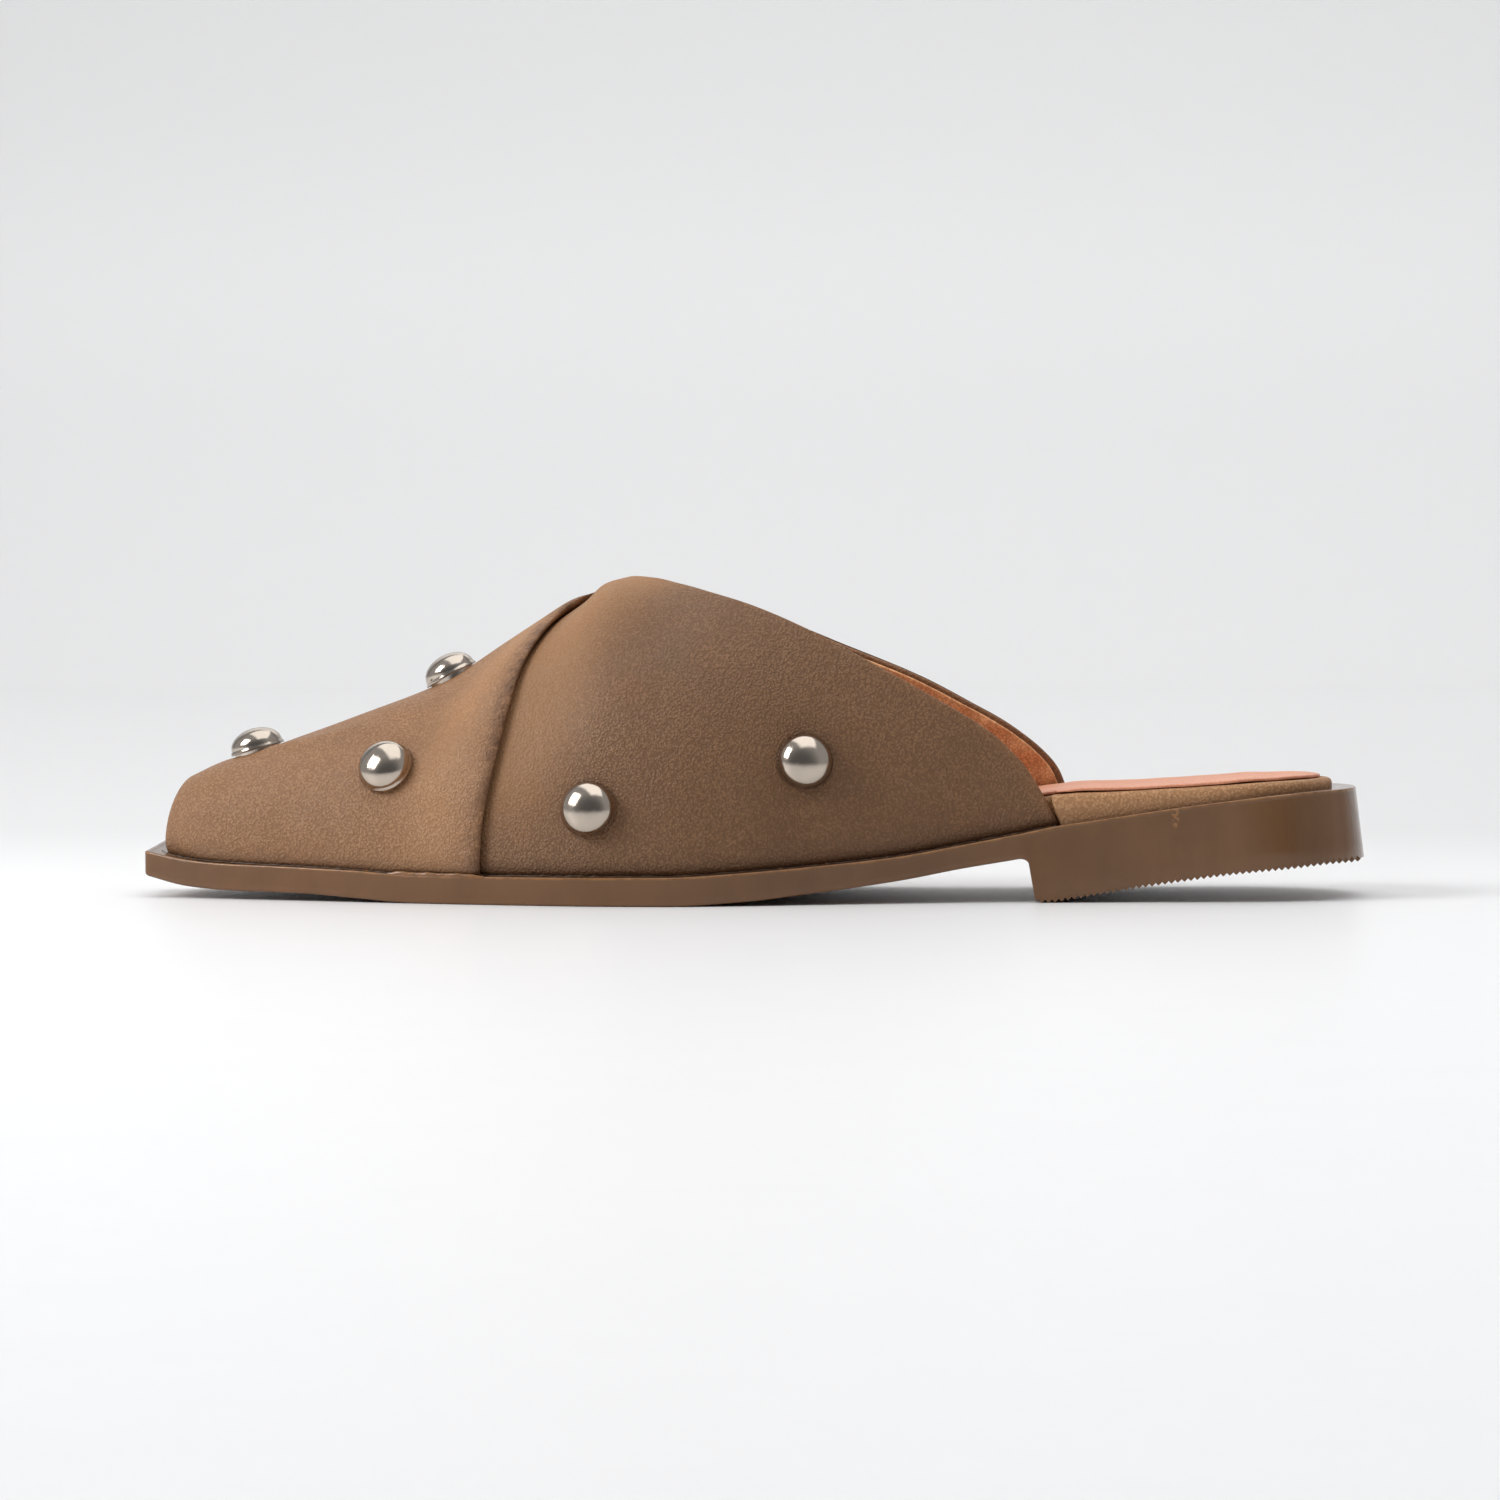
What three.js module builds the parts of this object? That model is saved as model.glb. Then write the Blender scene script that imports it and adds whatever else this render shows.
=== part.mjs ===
// A left mule shoe with a crossed-over upper, a snipped toe and a moulded sole.
// Millimetres, +Z up. The toe points along -X and the outer side of the foot lies along -Y.

import * as THREE from 'three';

// Sole
const soleLength = 270;
const ballWidth = 86;
const heelWidth = 57.5;
const toeWidth = 28;
const soleThickness = 6.3;
const toeSpring = 4.8;
const shankRise = 17.6;
const heelLength = 73.4;
const heelBackLift = 8.3;
const heelLean = 0.12;
const heelRound = 30;
const breastFillet = 3;
const breastSlope = 0.4;
const soleEdgeRound = 0.9;
const soleEdgeBevel = 1.1;

// Footbed and sock
const footbedThickness = 3;
const footbedLedge = 1.8;
const footbedBackLedge = 5.7;
const footbedEdgeRound = 1.3;
const footbedClearance = 0.6;
const footbedEndGap = 1;
const footbedEndLean = 2.4;
const sockThickness = 0.9;
const sockMargin = 1;
const sockBackMargin = 2.8;

// Upper
const upperToeLedge = 4.1;
const upperSideLedge = 2.6;
const upperToeWidth = 16;
const upperToeHeight = 5;
const toeCornerLength = 11;
const toeCrownLength = 8;
const instepRise = 63;
const wallThickness = 2;
const wrapThickness = 1.3;
const wrapEdgeLift = 0.5;
const seatGap = 0.3;
const layerGap = 0.5;
const throatAt = 107;
const collarEndAt = 203.2;
const collarChangeover = 0.25;

// Studs
const studDiameter = 11.4;
const studHeight = 4.6;
const studNeckDiameter = 8;
const studNeckHeight = 0.7;
const studRimDrop = 0.5;

// How finely the curved forms are cut into facets
const soleSteps = 40;
const bodySteps = 26;
const capSteps = 3;
const aroundSteps = 26;
const studSides = 20;
const studRings = 5;

// Widths of the sole from its middle line, as shares of the width that each row follows
const soleOutline = [
  { along: 0.000, of: toeWidth, outer: 0.500, inner: 0.500 },
  { along: 0.037, of: toeWidth, outer: 0.640, inner: 0.625 },
  { along: 0.074, of: ballWidth, outer: 0.247, inner: 0.250 },
  { along: 0.141, of: ballWidth, outer: 0.314, inner: 0.326 },
  { along: 0.226, of: ballWidth, outer: 0.395, inner: 0.413 },
  { along: 0.285, of: ballWidth, outer: 0.448, inner: 0.463 },
  { along: 0.341, of: ballWidth, outer: 0.492, inner: 0.488 },
  { along: 0.393, of: ballWidth, outer: 0.521, inner: 0.477 },
  { along: 0.440, of: ballWidth, outer: 0.527, inner: 0.444 },
  { along: 0.496, of: ballWidth, outer: 0.498, inner: 0.395 },
  { along: 0.556, of: ballWidth, outer: 0.448, inner: 0.343 },
  { along: 0.630, of: ballWidth, outer: 0.393, inner: 0.302 },
  { along: 0.696, of: heelWidth, outer: 0.530, inner: 0.449 },
  { along: 0.752, of: heelWidth, outer: 0.504, inner: 0.473 },
  { along: 0.815, of: heelWidth, outer: 0.497, inner: 0.501 },
  { along: 0.881, of: heelWidth, outer: 0.496, inner: 0.504 },
  { along: 1.000, of: heelWidth, outer: 0.496, inner: 0.504 },
];

// Side view of the sole: spring is a share of the toe spring, rise of the shank's rise under
// the heel, thick of the sole's thickness and board of the footbed's thickness
const soleProfile = [
  { along: 0.000, spring: 1.00, rise: 0.000, thick: 0.87, board: 1.00 },
  { along: 0.037, spring: 0.58, rise: 0.000, thick: 0.94, board: 1.00 },
  { along: 0.074, spring: 0.43, rise: 0.000, thick: 0.94, board: 1.00 },
  { along: 0.141, spring: 0.33, rise: 0.000, thick: 0.92, board: 1.00 },
  { along: 0.185, spring: 0.17, rise: 0.000, thick: 0.97, board: 1.00 },
  { along: 0.237, spring: 0.00, rise: 0.000, thick: 0.98, board: 1.00 },
  { along: 0.333, spring: 0.00, rise: 0.000, thick: 0.98, board: 1.00 },
  { along: 0.437, spring: 0.00, rise: 0.000, thick: 1.00, board: 1.00 },
  { along: 0.504, spring: 0.00, rise: 0.051, thick: 1.00, board: 1.15 },
  { along: 0.548, spring: 0.00, rise: 0.125, thick: 0.94, board: 1.35 },
  { along: 0.626, spring: 0.00, rise: 0.284, thick: 0.84, board: 1.80 },
  { along: 0.674, spring: 0.00, rise: 0.420, thick: 0.82, board: 2.05 },
  { along: 0.719, spring: 0.00, rise: 0.535, thick: 0.86, board: 2.20 },
  { along: 0.752, spring: 0.00, rise: 0.635, thick: 0.87, board: 2.15 },
  { along: 0.802, spring: 0.00, rise: 0.750, thick: 0.87, board: 1.70 },
  { along: 0.843, spring: 0.00, rise: 0.846, thick: 0.87, board: 1.36 },
  { along: 0.889, spring: 0.00, rise: 0.940, thick: 0.87, board: 1.05 },
  { along: 0.930, spring: 0.00, rise: 1.005, thick: 0.88, board: 0.86 },
  { along: 0.963, spring: 0.00, rise: 1.040, thick: 0.88, board: 0.74 },
  { along: 1.000, spring: 0.00, rise: 1.055, thick: 0.88, board: 0.70 },
];

// Under face of the heel, from its breast to its back, as a share of the lift at the back
const heelUnder = [
  { along: 0.00, lift: 0.00 },
  { along: 0.10, lift: 0.00 },
  { along: 0.20, lift: 0.24 },
  { along: 0.30, lift: 0.42 },
  { along: 0.43, lift: 0.58 },
  { along: 0.58, lift: 0.75 },
  { along: 0.74, lift: 0.89 },
  { along: 0.90, lift: 1.00 },
  { along: 1.00, lift: 1.00 },
];

// Cross sections of the upper: ridge is the height over the sole as a share of the instep,
// lean how far the ridge stands to the inner side as a share of the ball width,
// crown and wall the roundness of the top and of the sides, where less than 1 is squarer
const upperSections = [
  { along: 0.015, ridge: 0.190, lean: 0.000, crown: 0.78, wall: 0.84 },
  { along: 0.063, ridge: 0.310, lean: 0.000, crown: 0.80, wall: 0.86 },
  { along: 0.113, ridge: 0.391, lean: 0.002, crown: 0.84, wall: 0.90 },
  { along: 0.172, ridge: 0.489, lean: 0.006, crown: 0.90, wall: 0.98 },
  { along: 0.226, ridge: 0.590, lean: 0.012, crown: 0.94, wall: 1.04 },
  { along: 0.267, ridge: 0.683, lean: 0.020, crown: 0.97, wall: 1.08 },
  { along: 0.305, ridge: 0.788, lean: 0.028, crown: 1.00, wall: 1.10 },
  { along: 0.341, ridge: 0.879, lean: 0.034, crown: 1.00, wall: 1.10 },
  { along: 0.361, ridge: 0.924, lean: 0.038, crown: 1.00, wall: 1.08 },
  { along: 0.381, ridge: 0.971, lean: 0.040, crown: 1.00, wall: 1.06 },
  { along: 0.396, ridge: 1.000, lean: 0.042, crown: 1.00, wall: 1.05 },
  { along: 0.444, ridge: 1.047, lean: 0.042, crown: 1.00, wall: 1.02 },
  { along: 0.519, ridge: 1.076, lean: 0.034, crown: 1.00, wall: 1.00 },
  { along: 0.611, ridge: 1.080, lean: 0.018, crown: 1.00, wall: 1.00 },
  { along: 0.704, ridge: 1.050, lean: 0.004, crown: 1.00, wall: 1.00 },
  { along: 0.760, ridge: 1.015, lean: 0.000, crown: 1.00, wall: 1.00 },
];

// Collar in the side view, from the throat to its end at the sole: back is a share of that
// way, outer and inner the edge's height over the sole on each side as shares of the instep
const collarLine = [
  { back: 0.000, outer: 1.000, inner: 1.000 },
  { back: 0.073, outer: 0.993, inner: 0.975 },
  { back: 0.139, outer: 0.968, inner: 0.932 },
  { back: 0.211, outer: 0.938, inner: 0.890 },
  { back: 0.308, outer: 0.886, inner: 0.838 },
  { back: 0.447, outer: 0.768, inner: 0.728 },
  { back: 0.634, outer: 0.617, inner: 0.587 },
  { back: 0.767, outer: 0.476, inner: 0.450 },
  { back: 0.832, outer: 0.399, inner: 0.376 },
  { back: 0.884, outer: 0.319, inner: 0.299 },
  { back: 0.924, outer: 0.232, inner: 0.216 },
  { back: 0.963, outer: 0.119, inner: 0.110 },
  { back: 1.000, outer: 0.000, inner: 0.000 },
];

// Rear edge of the panel that wraps over the outer quarter: around runs from -1 at the outer
// side of the sole over the ridge at 0 to 1 at the inner side, along is a share of the sole
const wrapEdge = [
  { around: -1.000, along: 0.2880 },
  { around: -0.870, along: 0.2890 },
  { around: -0.680, along: 0.2970 },
  { around: -0.410, along: 0.3080 },
  { around: -0.290, along: 0.3145 },
  { around: -0.155, along: 0.3260 },
  { around: -0.080, along: 0.3410 },
  { around: 0.000, along: 0.3610 },
  { around: 0.080, along: 0.3750 },
  { around: 0.180, along: 0.3980 },
  { around: 0.280, along: 0.4300 },
  { around: 0.380, along: 0.4800 },
  { around: 0.480, along: 0.5500 },
  { around: 1.000, along: 0.9000 },
];

// Studs: each sits on the wrapped panel or on the quarter, at a share of the sole's length
// and a share of the way around
const studs = [
  { name: 'stud_toe_ridge', on: 'wrap', along: 0.0840, around: 0.000 },
  { name: 'stud_vamp_ridge', on: 'wrap', along: 0.2440, around: 0.000 },
  { name: 'stud_vamp_outer', on: 'wrap', along: 0.2024, around: -0.550 },
  { name: 'stud_ball_outer', on: 'quarter', along: 0.3755, around: -0.845 },
  { name: 'stud_waist_outer', on: 'quarter', along: 0.5500, around: -0.774 },
  { name: 'stud_vamp_inner', on: 'wrap', along: 0.2024, around: 0.550 },
  { name: 'stud_ball_inner', on: 'wrap', along: 0.3755, around: 0.800 },
  { name: 'stud_waist_inner', on: 'wrap', along: 0.5500, around: 0.740 },
];

const brownLeather = new THREE.MeshStandardMaterial({ color: 0x7a5440, roughness: 0.55, metalness: 0 });
const brownWrap = new THREE.MeshStandardMaterial({ color: 0x7d5743, roughness: 0.55, metalness: 0 });
const brownSole = new THREE.MeshStandardMaterial({ color: 0x5e4133, roughness: 0.35, metalness: 0 });
const taupeFootbed = new THREE.MeshStandardMaterial({ color: 0x8a6a58, roughness: 0.6, metalness: 0 });
const tanSock = new THREE.MeshStandardMaterial({ color: 0xc08a6c, roughness: 0.65, metalness: 0 });
const polishedSteel = new THREE.MeshStandardMaterial({ color: 0xd8d8da, roughness: 0.15, metalness: 1 });

// Slope of a table's column at a row, flat at a high or low point so that nothing overshoots
function slopeAt(rows, key, column, i) {
  const rise = (a, b) => (b[column] - a[column]) / (b[key] - a[key]);
  if (i === 0) return rise(rows[0], rows[1]);
  if (i === rows.length - 1) return rise(rows[i - 1], rows[i]);
  const before = rise(rows[i - 1], rows[i]);
  const after = rise(rows[i], rows[i + 1]);
  if (before * after <= 0) return 0;
  return (2 * before * after) / (before + after);
}

// Smooth value of a table's column at a place between its rows
function follow(rows, key, column, at) {
  const last = rows.length - 1;
  if (at <= rows[0][key]) return rows[0][column];
  if (at >= rows[last][key]) return rows[last][column];
  let i = 0;
  while (rows[i + 1][key] < at) i += 1;
  const span = rows[i + 1][key] - rows[i][key];
  const t = (at - rows[i][key]) / span;
  const leave = slopeAt(rows, key, column, i) * span;
  const arrive = slopeAt(rows, key, column, i + 1) * span;
  const a = rows[i][column];
  const b = rows[i + 1][column];
  return a + t * (leave + t * (3 * (b - a) - 2 * leave - arrive + t * (leave + arrive - 2 * (b - a))));
}

const outlineWidths = soleOutline.map((row) => ({
  along: row.along,
  outer: row.outer * row.of,
  inner: row.inner * row.of,
}));

const soleBackAt = soleLength - heelLean * (shankRise + soleThickness - heelBackLift);
const breastAt = soleLength - heelLength;

// Half width of the sole at x, with its heel rounded off
function soleHalfWidth(x, side) {
  const width = follow(outlineWidths, 'along', side, x / soleLength);
  const t = Math.min(1, Math.max(0, (x - soleBackAt + heelRound) / heelRound));
  return width * Math.sqrt(1 - t ** 2.4);
}

function soleUnder(x) {
  const at = x / soleLength;
  return toeSpring * follow(soleProfile, 'along', 'spring', at)
    + shankRise * follow(soleProfile, 'along', 'rise', at);
}

function soleTop(x) {
  return soleUnder(x) + soleThickness * follow(soleProfile, 'along', 'thick', x / soleLength);
}

function heelUnderAt(x) {
  return heelBackLift * follow(heelUnder, 'along', 'lift', (x - breastAt) / heelLength);
}

function footbedTop(x) {
  return soleTop(x) + seatGap + footbedThickness * follow(soleProfile, 'along', 'board', x / soleLength);
}

// Stations along the sole, close together at the toe, before the breast and round the heel
function soleStations() {
  const list = [];
  const frontEnd = breastAt - breastFillet;
  for (let i = 0; i <= soleSteps / 2; i += 1) {
    list.push(frontEnd * (1 - Math.cos((Math.PI / 2) * (i / (soleSteps / 2)))) * 0.35
      + frontEnd * (i / (soleSteps / 2)) * 0.65);
  }
  for (const turn of [0.5, 0.87, 1]) list.push(frontEnd + turn * breastFillet);
  return list;
}

function heelStations() {
  const list = [];
  const count = soleSteps / 2;
  const start = breastAt + breastSlope;
  for (let i = 0; i <= count; i += 1) {
    list.push(start + (soleBackAt - start) * Math.sin((Math.PI / 2) * (0.997 * i / count)));
  }
  return list;
}

// Point on the sole's outline with the direction that leads away from the shoe
function outlinePoint(x, side) {
  const sign = side === 'outer' ? -1 : 1;
  const step = 0.05;
  const y = sign * soleHalfWidth(x, side);
  const change = (soleHalfWidth(x + step, side) - soleHalfWidth(x - step, side)) / (2 * step);
  const away = x <= 0 ? new THREE.Vector2(-1, sign) : new THREE.Vector2(-change, sign).normalize();
  return { x, y, away };
}

// One ring of the sole: rounded under edge, upright side and bevelled top edge on both sides
function soleRing(x, under, lean) {
  const half = (side) => {
    const edge = outlinePoint(x, side);
    const inset = (r, z) => {
      const px = edge.x - edge.away.x * r + lean * (soleTop(x) - z);
      return new THREE.Vector3(px, edge.y - edge.away.y * r, z);
    };
    const top = soleTop(x);
    return [
      inset(soleEdgeRound, under),
      inset(soleEdgeRound * 0.29, under + soleEdgeRound * 0.29),
      inset(0, under + soleEdgeRound),
      inset(0, top - soleEdgeBevel),
      inset(soleEdgeBevel, top),
    ];
  };
  return [...half('outer'), ...half('inner').reverse()];
}

// Closed solid through rings that all have the same number of points
function loft(rings) {
  const count = rings[0].length;
  const points = rings.flat();
  const index = [];
  for (let i = 0; i + 1 < rings.length; i += 1) {
    for (let j = 0; j < count; j += 1) {
      const a = i * count + j;
      const b = i * count + (j + 1) % count;
      index.push(a, b, b + count, a, b + count, a + count);
    }
  }
  const end = (rings.length - 1) * count;
  for (let j = 1; 2 * j < count; j += 1) {
    const far = count - j;
    index.push(j - 1, far % count, j, j, far % count, far - 1);
    index.push(end + j - 1, end + j, end + (far % count), end + j, end + far - 1, end + (far % count));
  }
  return faceOut(points, index);
}

// Geometry with its faces turned outward and without empty triangles
function faceOut(points, index) {
  const corners = [];
  for (let i = 0; i < index.length; i += 3) {
    const three = [index[i], index[i + 1], index[i + 2]];
    if (new Set(three).size === 3) corners.push(three);
  }
  let volume = 0;
  for (const [a, b, c] of corners) {
    volume += points[a].dot(new THREE.Vector3().crossVectors(points[b], points[c]));
  }
  const order = volume < 0 ? ([a, b, c]) => [a, c, b] : (three) => three;
  const geometry = new THREE.BufferGeometry().setFromPoints(points);
  geometry.setIndex(corners.flatMap(order));
  geometry.computeVertexNormals();
  return geometry;
}

function outsoleGeometry() {
  const rings = [];
  for (const x of soleStations()) {
    const into = Math.max(0, x - (breastAt - breastFillet));
    const drop = breastFillet - Math.sqrt(Math.max(0, breastFillet ** 2 - into ** 2));
    const lean = heelLean * (into / breastFillet);
    rings.push(soleRing(x, soleUnder(x) - drop, lean));
  }
  for (const x of heelStations()) rings.push(soleRing(x, heelUnderAt(x), heelLean));
  return loft(rings);
}

// Sizes of the upper's outer form at x
function upperSection(x) {
  const at = x / soleLength;
  const from = x - upperToeLedge;
  const round = (length) => {
    const t = Math.min(1, Math.max(0, from / length));
    return Math.sqrt(1 - (1 - t) ** 2);
  };
  const corner = round(toeCornerLength);
  const crown = round(toeCrownLength);
  const halfToe = upperToeWidth / 2;
  const half = (side) => halfToe + (soleHalfWidth(x, side) - upperSideLedge - halfToe) * corner;
  const ridge = instepRise * follow(upperSections, 'along', 'ridge', at);
  return {
    foot: soleTop(x) + seatGap,
    outer: half('outer'),
    inner: half('inner'),
    ridge: upperToeHeight + (ridge - upperToeHeight) * crown,
    lean: ballWidth * follow(upperSections, 'along', 'lean', at),
    crown: follow(upperSections, 'along', 'crown', at),
    wall: follow(upperSections, 'along', 'wall', at),
  };
}

// Point of the upper's outer form: around runs from -1 over the ridge at 0 to 1, and size
// shrinks the section towards the sole on the upright front of the toe
function upperPoint(x, around, size = 1) {
  const s = upperSection(x);
  const turn = Math.abs(around) * (Math.PI / 2);
  const reach = around < 0 ? -s.outer - s.lean : s.inner - s.lean;
  const y = s.lean + reach * Math.sin(turn) ** s.wall;
  const z = s.foot + s.ridge * Math.max(0, Math.cos(turn)) ** s.crown * (Math.abs(around) < 1 ? 1 : 0);
  return new THREE.Vector3(x, y * size, s.foot + (z - s.foot) * size);
}

// Direction that leads straight out of the upper's form
function upperNormal(x, around) {
  if (x <= upperToeLedge) return new THREE.Vector3(-1, 0, 0);
  const step = 0.02;
  const turn = 0.002;
  const lower = Math.max(-1, around - turn);
  const higher = Math.min(1, around + turn);
  const along = upperPoint(x + step, around).sub(upperPoint(x, around));
  const over = upperPoint(x, higher).sub(upperPoint(x, lower));
  const normal = new THREE.Vector3().crossVectors(along, over);
  if (Math.abs(around) === 1) normal.z = 0;
  return normal.normalize();
}

// Point at a distance from the upper's outer form, inward where it is less than nothing
function skinPoint(x, around, size, distance) {
  const point = upperPoint(x, around, size).addScaledVector(upperNormal(x, around), distance);
  if (Math.abs(around) === 1 || size === 0) point.z = soleTop(point.x) + seatGap;
  return point;
}

// Height of the collar over the sole, which changes sides smoothly just inside the ridge
function collarHeight(x, around) {
  const back = (x - throatAt) / (collarEndAt - throatAt);
  const inner = THREE.MathUtils.smoothstep(around, 0, collarChangeover);
  const outerRise = follow(collarLine, 'back', 'outer', back);
  return instepRise * (outerRise + inner * (follow(collarLine, 'back', 'inner', back) - outerRise));
}

// Where the upper ends on the line that goes around at this share, found by halving
function collarAt(around) {
  let front = throatAt;
  let back = collarEndAt;
  for (let i = 0; i < 40; i += 1) {
    const x = (front + back) / 2;
    const point = upperPoint(x, around);
    if (point.z - soleTop(x) - seatGap < collarHeight(x, around)) front = x;
    else back = x;
  }
  return (front + back) / 2;
}

function wrapEndAt(around) {
  return Math.min(soleLength * follow(wrapEdge, 'around', 'along', around), collarAt(around));
}

// Rows of a skin from the upright front of the toe to its rear edge, each a share of the
// way or a size of the toe's section
function skinRows() {
  const rows = [];
  for (let i = 0; i <= capSteps; i += 1) rows.push({ size: i / capSteps, way: 0 });
  for (let i = 1; i <= bodySteps; i += 1) {
    const t = i / bodySteps;
    rows.push({ size: 1, way: 0.62 * t ** 2 + 0.38 * t ** 1.15 });
  }
  return rows;
}

// Points of a skin at a distance from the upper's form, lifted a little at its rear edge
function skinGrid(endAt, distance, lift) {
  return skinRows().map((row) => {
    const line = [];
    for (let j = 0; j <= aroundSteps; j += 1) {
      const around = (2 * j) / aroundSteps - 1;
      const x = upperToeLedge + row.way * (endAt(around) - upperToeLedge);
      line.push(skinPoint(x, around, row.size, distance + lift * row.way ** 8));
    }
    return row.size === 0 ? [line[aroundSteps / 2]] : line;
  });
}

// Hollow wall between two skins, open underneath and at its rear edge
function shellGeometry(endAt, outerDistance, innerDistance, lift = 0) {
  const grids = [skinGrid(endAt, outerDistance, lift), skinGrid(endAt, innerDistance, lift)];
  const points = grids.flatMap((grid) => grid.flat());
  const half = grids[0].flat().length;
  const spot = (layer, row, j) => layer * half + (row === 0 ? 0 : 1 + (row - 1) * (aroundSteps + 1) + j);
  const rows = grids[0].length;
  const index = [];
  const quad = (a, b, c, d) => index.push(a, b, c, a, c, d);
  for (let i = 0; i + 1 < rows; i += 1) {
    for (let j = 0; j < aroundSteps; j += 1) {
      quad(spot(0, i, j), spot(0, i, j + 1), spot(0, i + 1, j + 1), spot(0, i + 1, j));
      quad(spot(1, i, j), spot(1, i + 1, j), spot(1, i + 1, j + 1), spot(1, i, j + 1));
    }
    quad(spot(0, i, 0), spot(0, i + 1, 0), spot(1, i + 1, 0), spot(1, i, 0));
    const last = aroundSteps;
    quad(spot(0, i, last), spot(1, i, last), spot(1, i + 1, last), spot(0, i + 1, last));
  }
  for (let j = 0; j < aroundSteps; j += 1) {
    const end = rows - 1;
    quad(spot(0, end, j), spot(0, end, j + 1), spot(1, end, j + 1), spot(1, end, j));
  }
  return faceOut(points, index);
}

// Rungs across the shoe between its outer and inner edge, from the toe inside the upper to
// the round back of the heel; inset draws them in from the upper's wall and the sole's edge
function boardRungs(inset, backLedge) {
  const rungs = [];
  const inside = -wallThickness - footbedClearance - inset;
  const pair = (make) => ({ outer: make(-1, 'outer'), inner: make(1, 'inner') });
  rungs.push(pair((sign) => skinPoint(upperToeLedge, sign, 0.7, inside)));
  for (let i = 1; i <= bodySteps; i += 1) {
    const t = i / bodySteps;
    const x = upperToeLedge + (collarEndAt - upperToeLedge) * (0.55 * t ** 2 + 0.45 * t);
    rungs.push(pair((sign) => skinPoint(x, sign, 1, inside)));
  }
  const start = collarEndAt + footbedEndGap + inset;
  const back = soleBackAt - backLedge;
  const count = bodySteps / 2;
  for (let i = 0; i <= count; i += 1) {
    const x = start + (back - start) * Math.sin((Math.PI / 2) * (0.995 * i / count));
    rungs.push(pair((sign, side) => {
      const wide = soleHalfWidth(Math.min(x, soleBackAt - heelRound), side) - footbedLedge - inset;
      const round = heelRound - backLedge / 2;
      const t = Math.min(1, Math.max(0, (x - back + round) / round));
      return new THREE.Vector3(x, sign * wide * Math.sqrt(1 - t ** 2.4), 0);
    }));
  }
  return rungs;
}

// Board or pad across the rungs, with its top edge rounded and the step beside the collar's
// end leaning as the collar does
function boardGeometry(rungs, under, top, round) {
  const rings = rungs.map((rung, i) => {
    const isStep = Math.abs(rung.outer.x - rung.inner.x) < 1e-6 && i > bodySteps;
    const leaning = isStep && rung.outer.x < collarEndAt + footbedEndLean ? footbedEndLean : 0;
    const half = (edge) => {
      const at = (inward, z, shift) => {
        const pull = Math.min(inward, Math.abs(edge.y) * 0.9);
        return new THREE.Vector3(edge.x - shift, edge.y - Math.sign(edge.y) * pull, z);
      };
      const high = top(edge.x - leaning);
      return [
        at(0, under(edge.x), 0),
        at(0, high - round, leaning),
        at(round * 0.29, high - round * 0.29, leaning),
        at(round, high, leaning),
      ];
    };
    return [...half(rung.outer), ...half(rung.inner).reverse()];
  });
  return loft(rings);
}

function footbedGeometry() {
  const under = (x) => soleTop(x) + seatGap;
  return boardGeometry(boardRungs(0, footbedBackLedge), under, footbedTop, footbedEdgeRound);
}

function sockGeometry() {
  const under = (x) => footbedTop(x) + seatGap;
  const top = (x) => under(x) + sockThickness;
  const rungs = boardRungs(sockMargin, footbedBackLedge + sockBackMargin);
  return boardGeometry(rungs, under, top, sockThickness / 3);
}

// Domed stud with a short neck, standing on its own origin
function studGeometry() {
  const radius = studDiameter / 2;
  const neck = studNeckDiameter / 2;
  const domeHeight = studHeight - studNeckHeight;
  const profile = [new THREE.Vector2(0, 0), new THREE.Vector2(neck, 0)];
  profile.push(new THREE.Vector2(neck, studNeckHeight));
  profile.push(new THREE.Vector2(radius - studRimDrop, studNeckHeight));
  for (let i = 0; i < studRings; i += 1) {
    const turn = (Math.PI / 2) * (i / studRings);
    const up = studNeckHeight + studRimDrop + (domeHeight - studRimDrop) * Math.sin(turn);
    profile.push(new THREE.Vector2(radius * Math.cos(turn), up));
  }
  profile.push(new THREE.Vector2(0, studHeight));
  return new THREE.LatheGeometry(profile, studSides).rotateX(Math.PI / 2);
}

function studMesh(row) {
  const x = row.along * soleLength;
  const base = row.on === 'wrap' ? layerGap + wrapThickness : 0;
  const mesh = named(row.name, studGeometry(), polishedSteel);
  mesh.position.copy(skinPoint(x, row.around, 1, base + layerGap));
  mesh.quaternion.setFromUnitVectors(new THREE.Vector3(0, 0, 1), upperNormal(x, row.around));
  return mesh;
}

function named(name, geometry, material) {
  const mesh = new THREE.Mesh(geometry, material);
  mesh.name = name;
  return mesh;
}

const shoe = new THREE.Group();
shoe.add(named('outsole', outsoleGeometry(), brownSole));
shoe.add(named('footbed', footbedGeometry(), taupeFootbed));
shoe.add(named('sock', sockGeometry(), tanSock));
shoe.add(named('upper', shellGeometry(collarAt, 0, -wallThickness), brownLeather));
const wrapGeometry = shellGeometry(wrapEndAt, layerGap + wrapThickness, layerGap, wrapEdgeLift);
shoe.add(named('wrap_panel', wrapGeometry, brownWrap));
for (const row of studs) shoe.add(studMesh(row));

// The origin is the middle of the shoe's box, on the floor
const box = new THREE.Box3().setFromObject(shoe);
const middle = box.getCenter(new THREE.Vector3());
shoe.position.set(-middle.x, -middle.y, -box.min.z);

export default shoe;
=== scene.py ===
"""Dresses a left mule: leather upper with a wrapped panel, moulded sole, footbed, sock and studs."""

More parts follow.
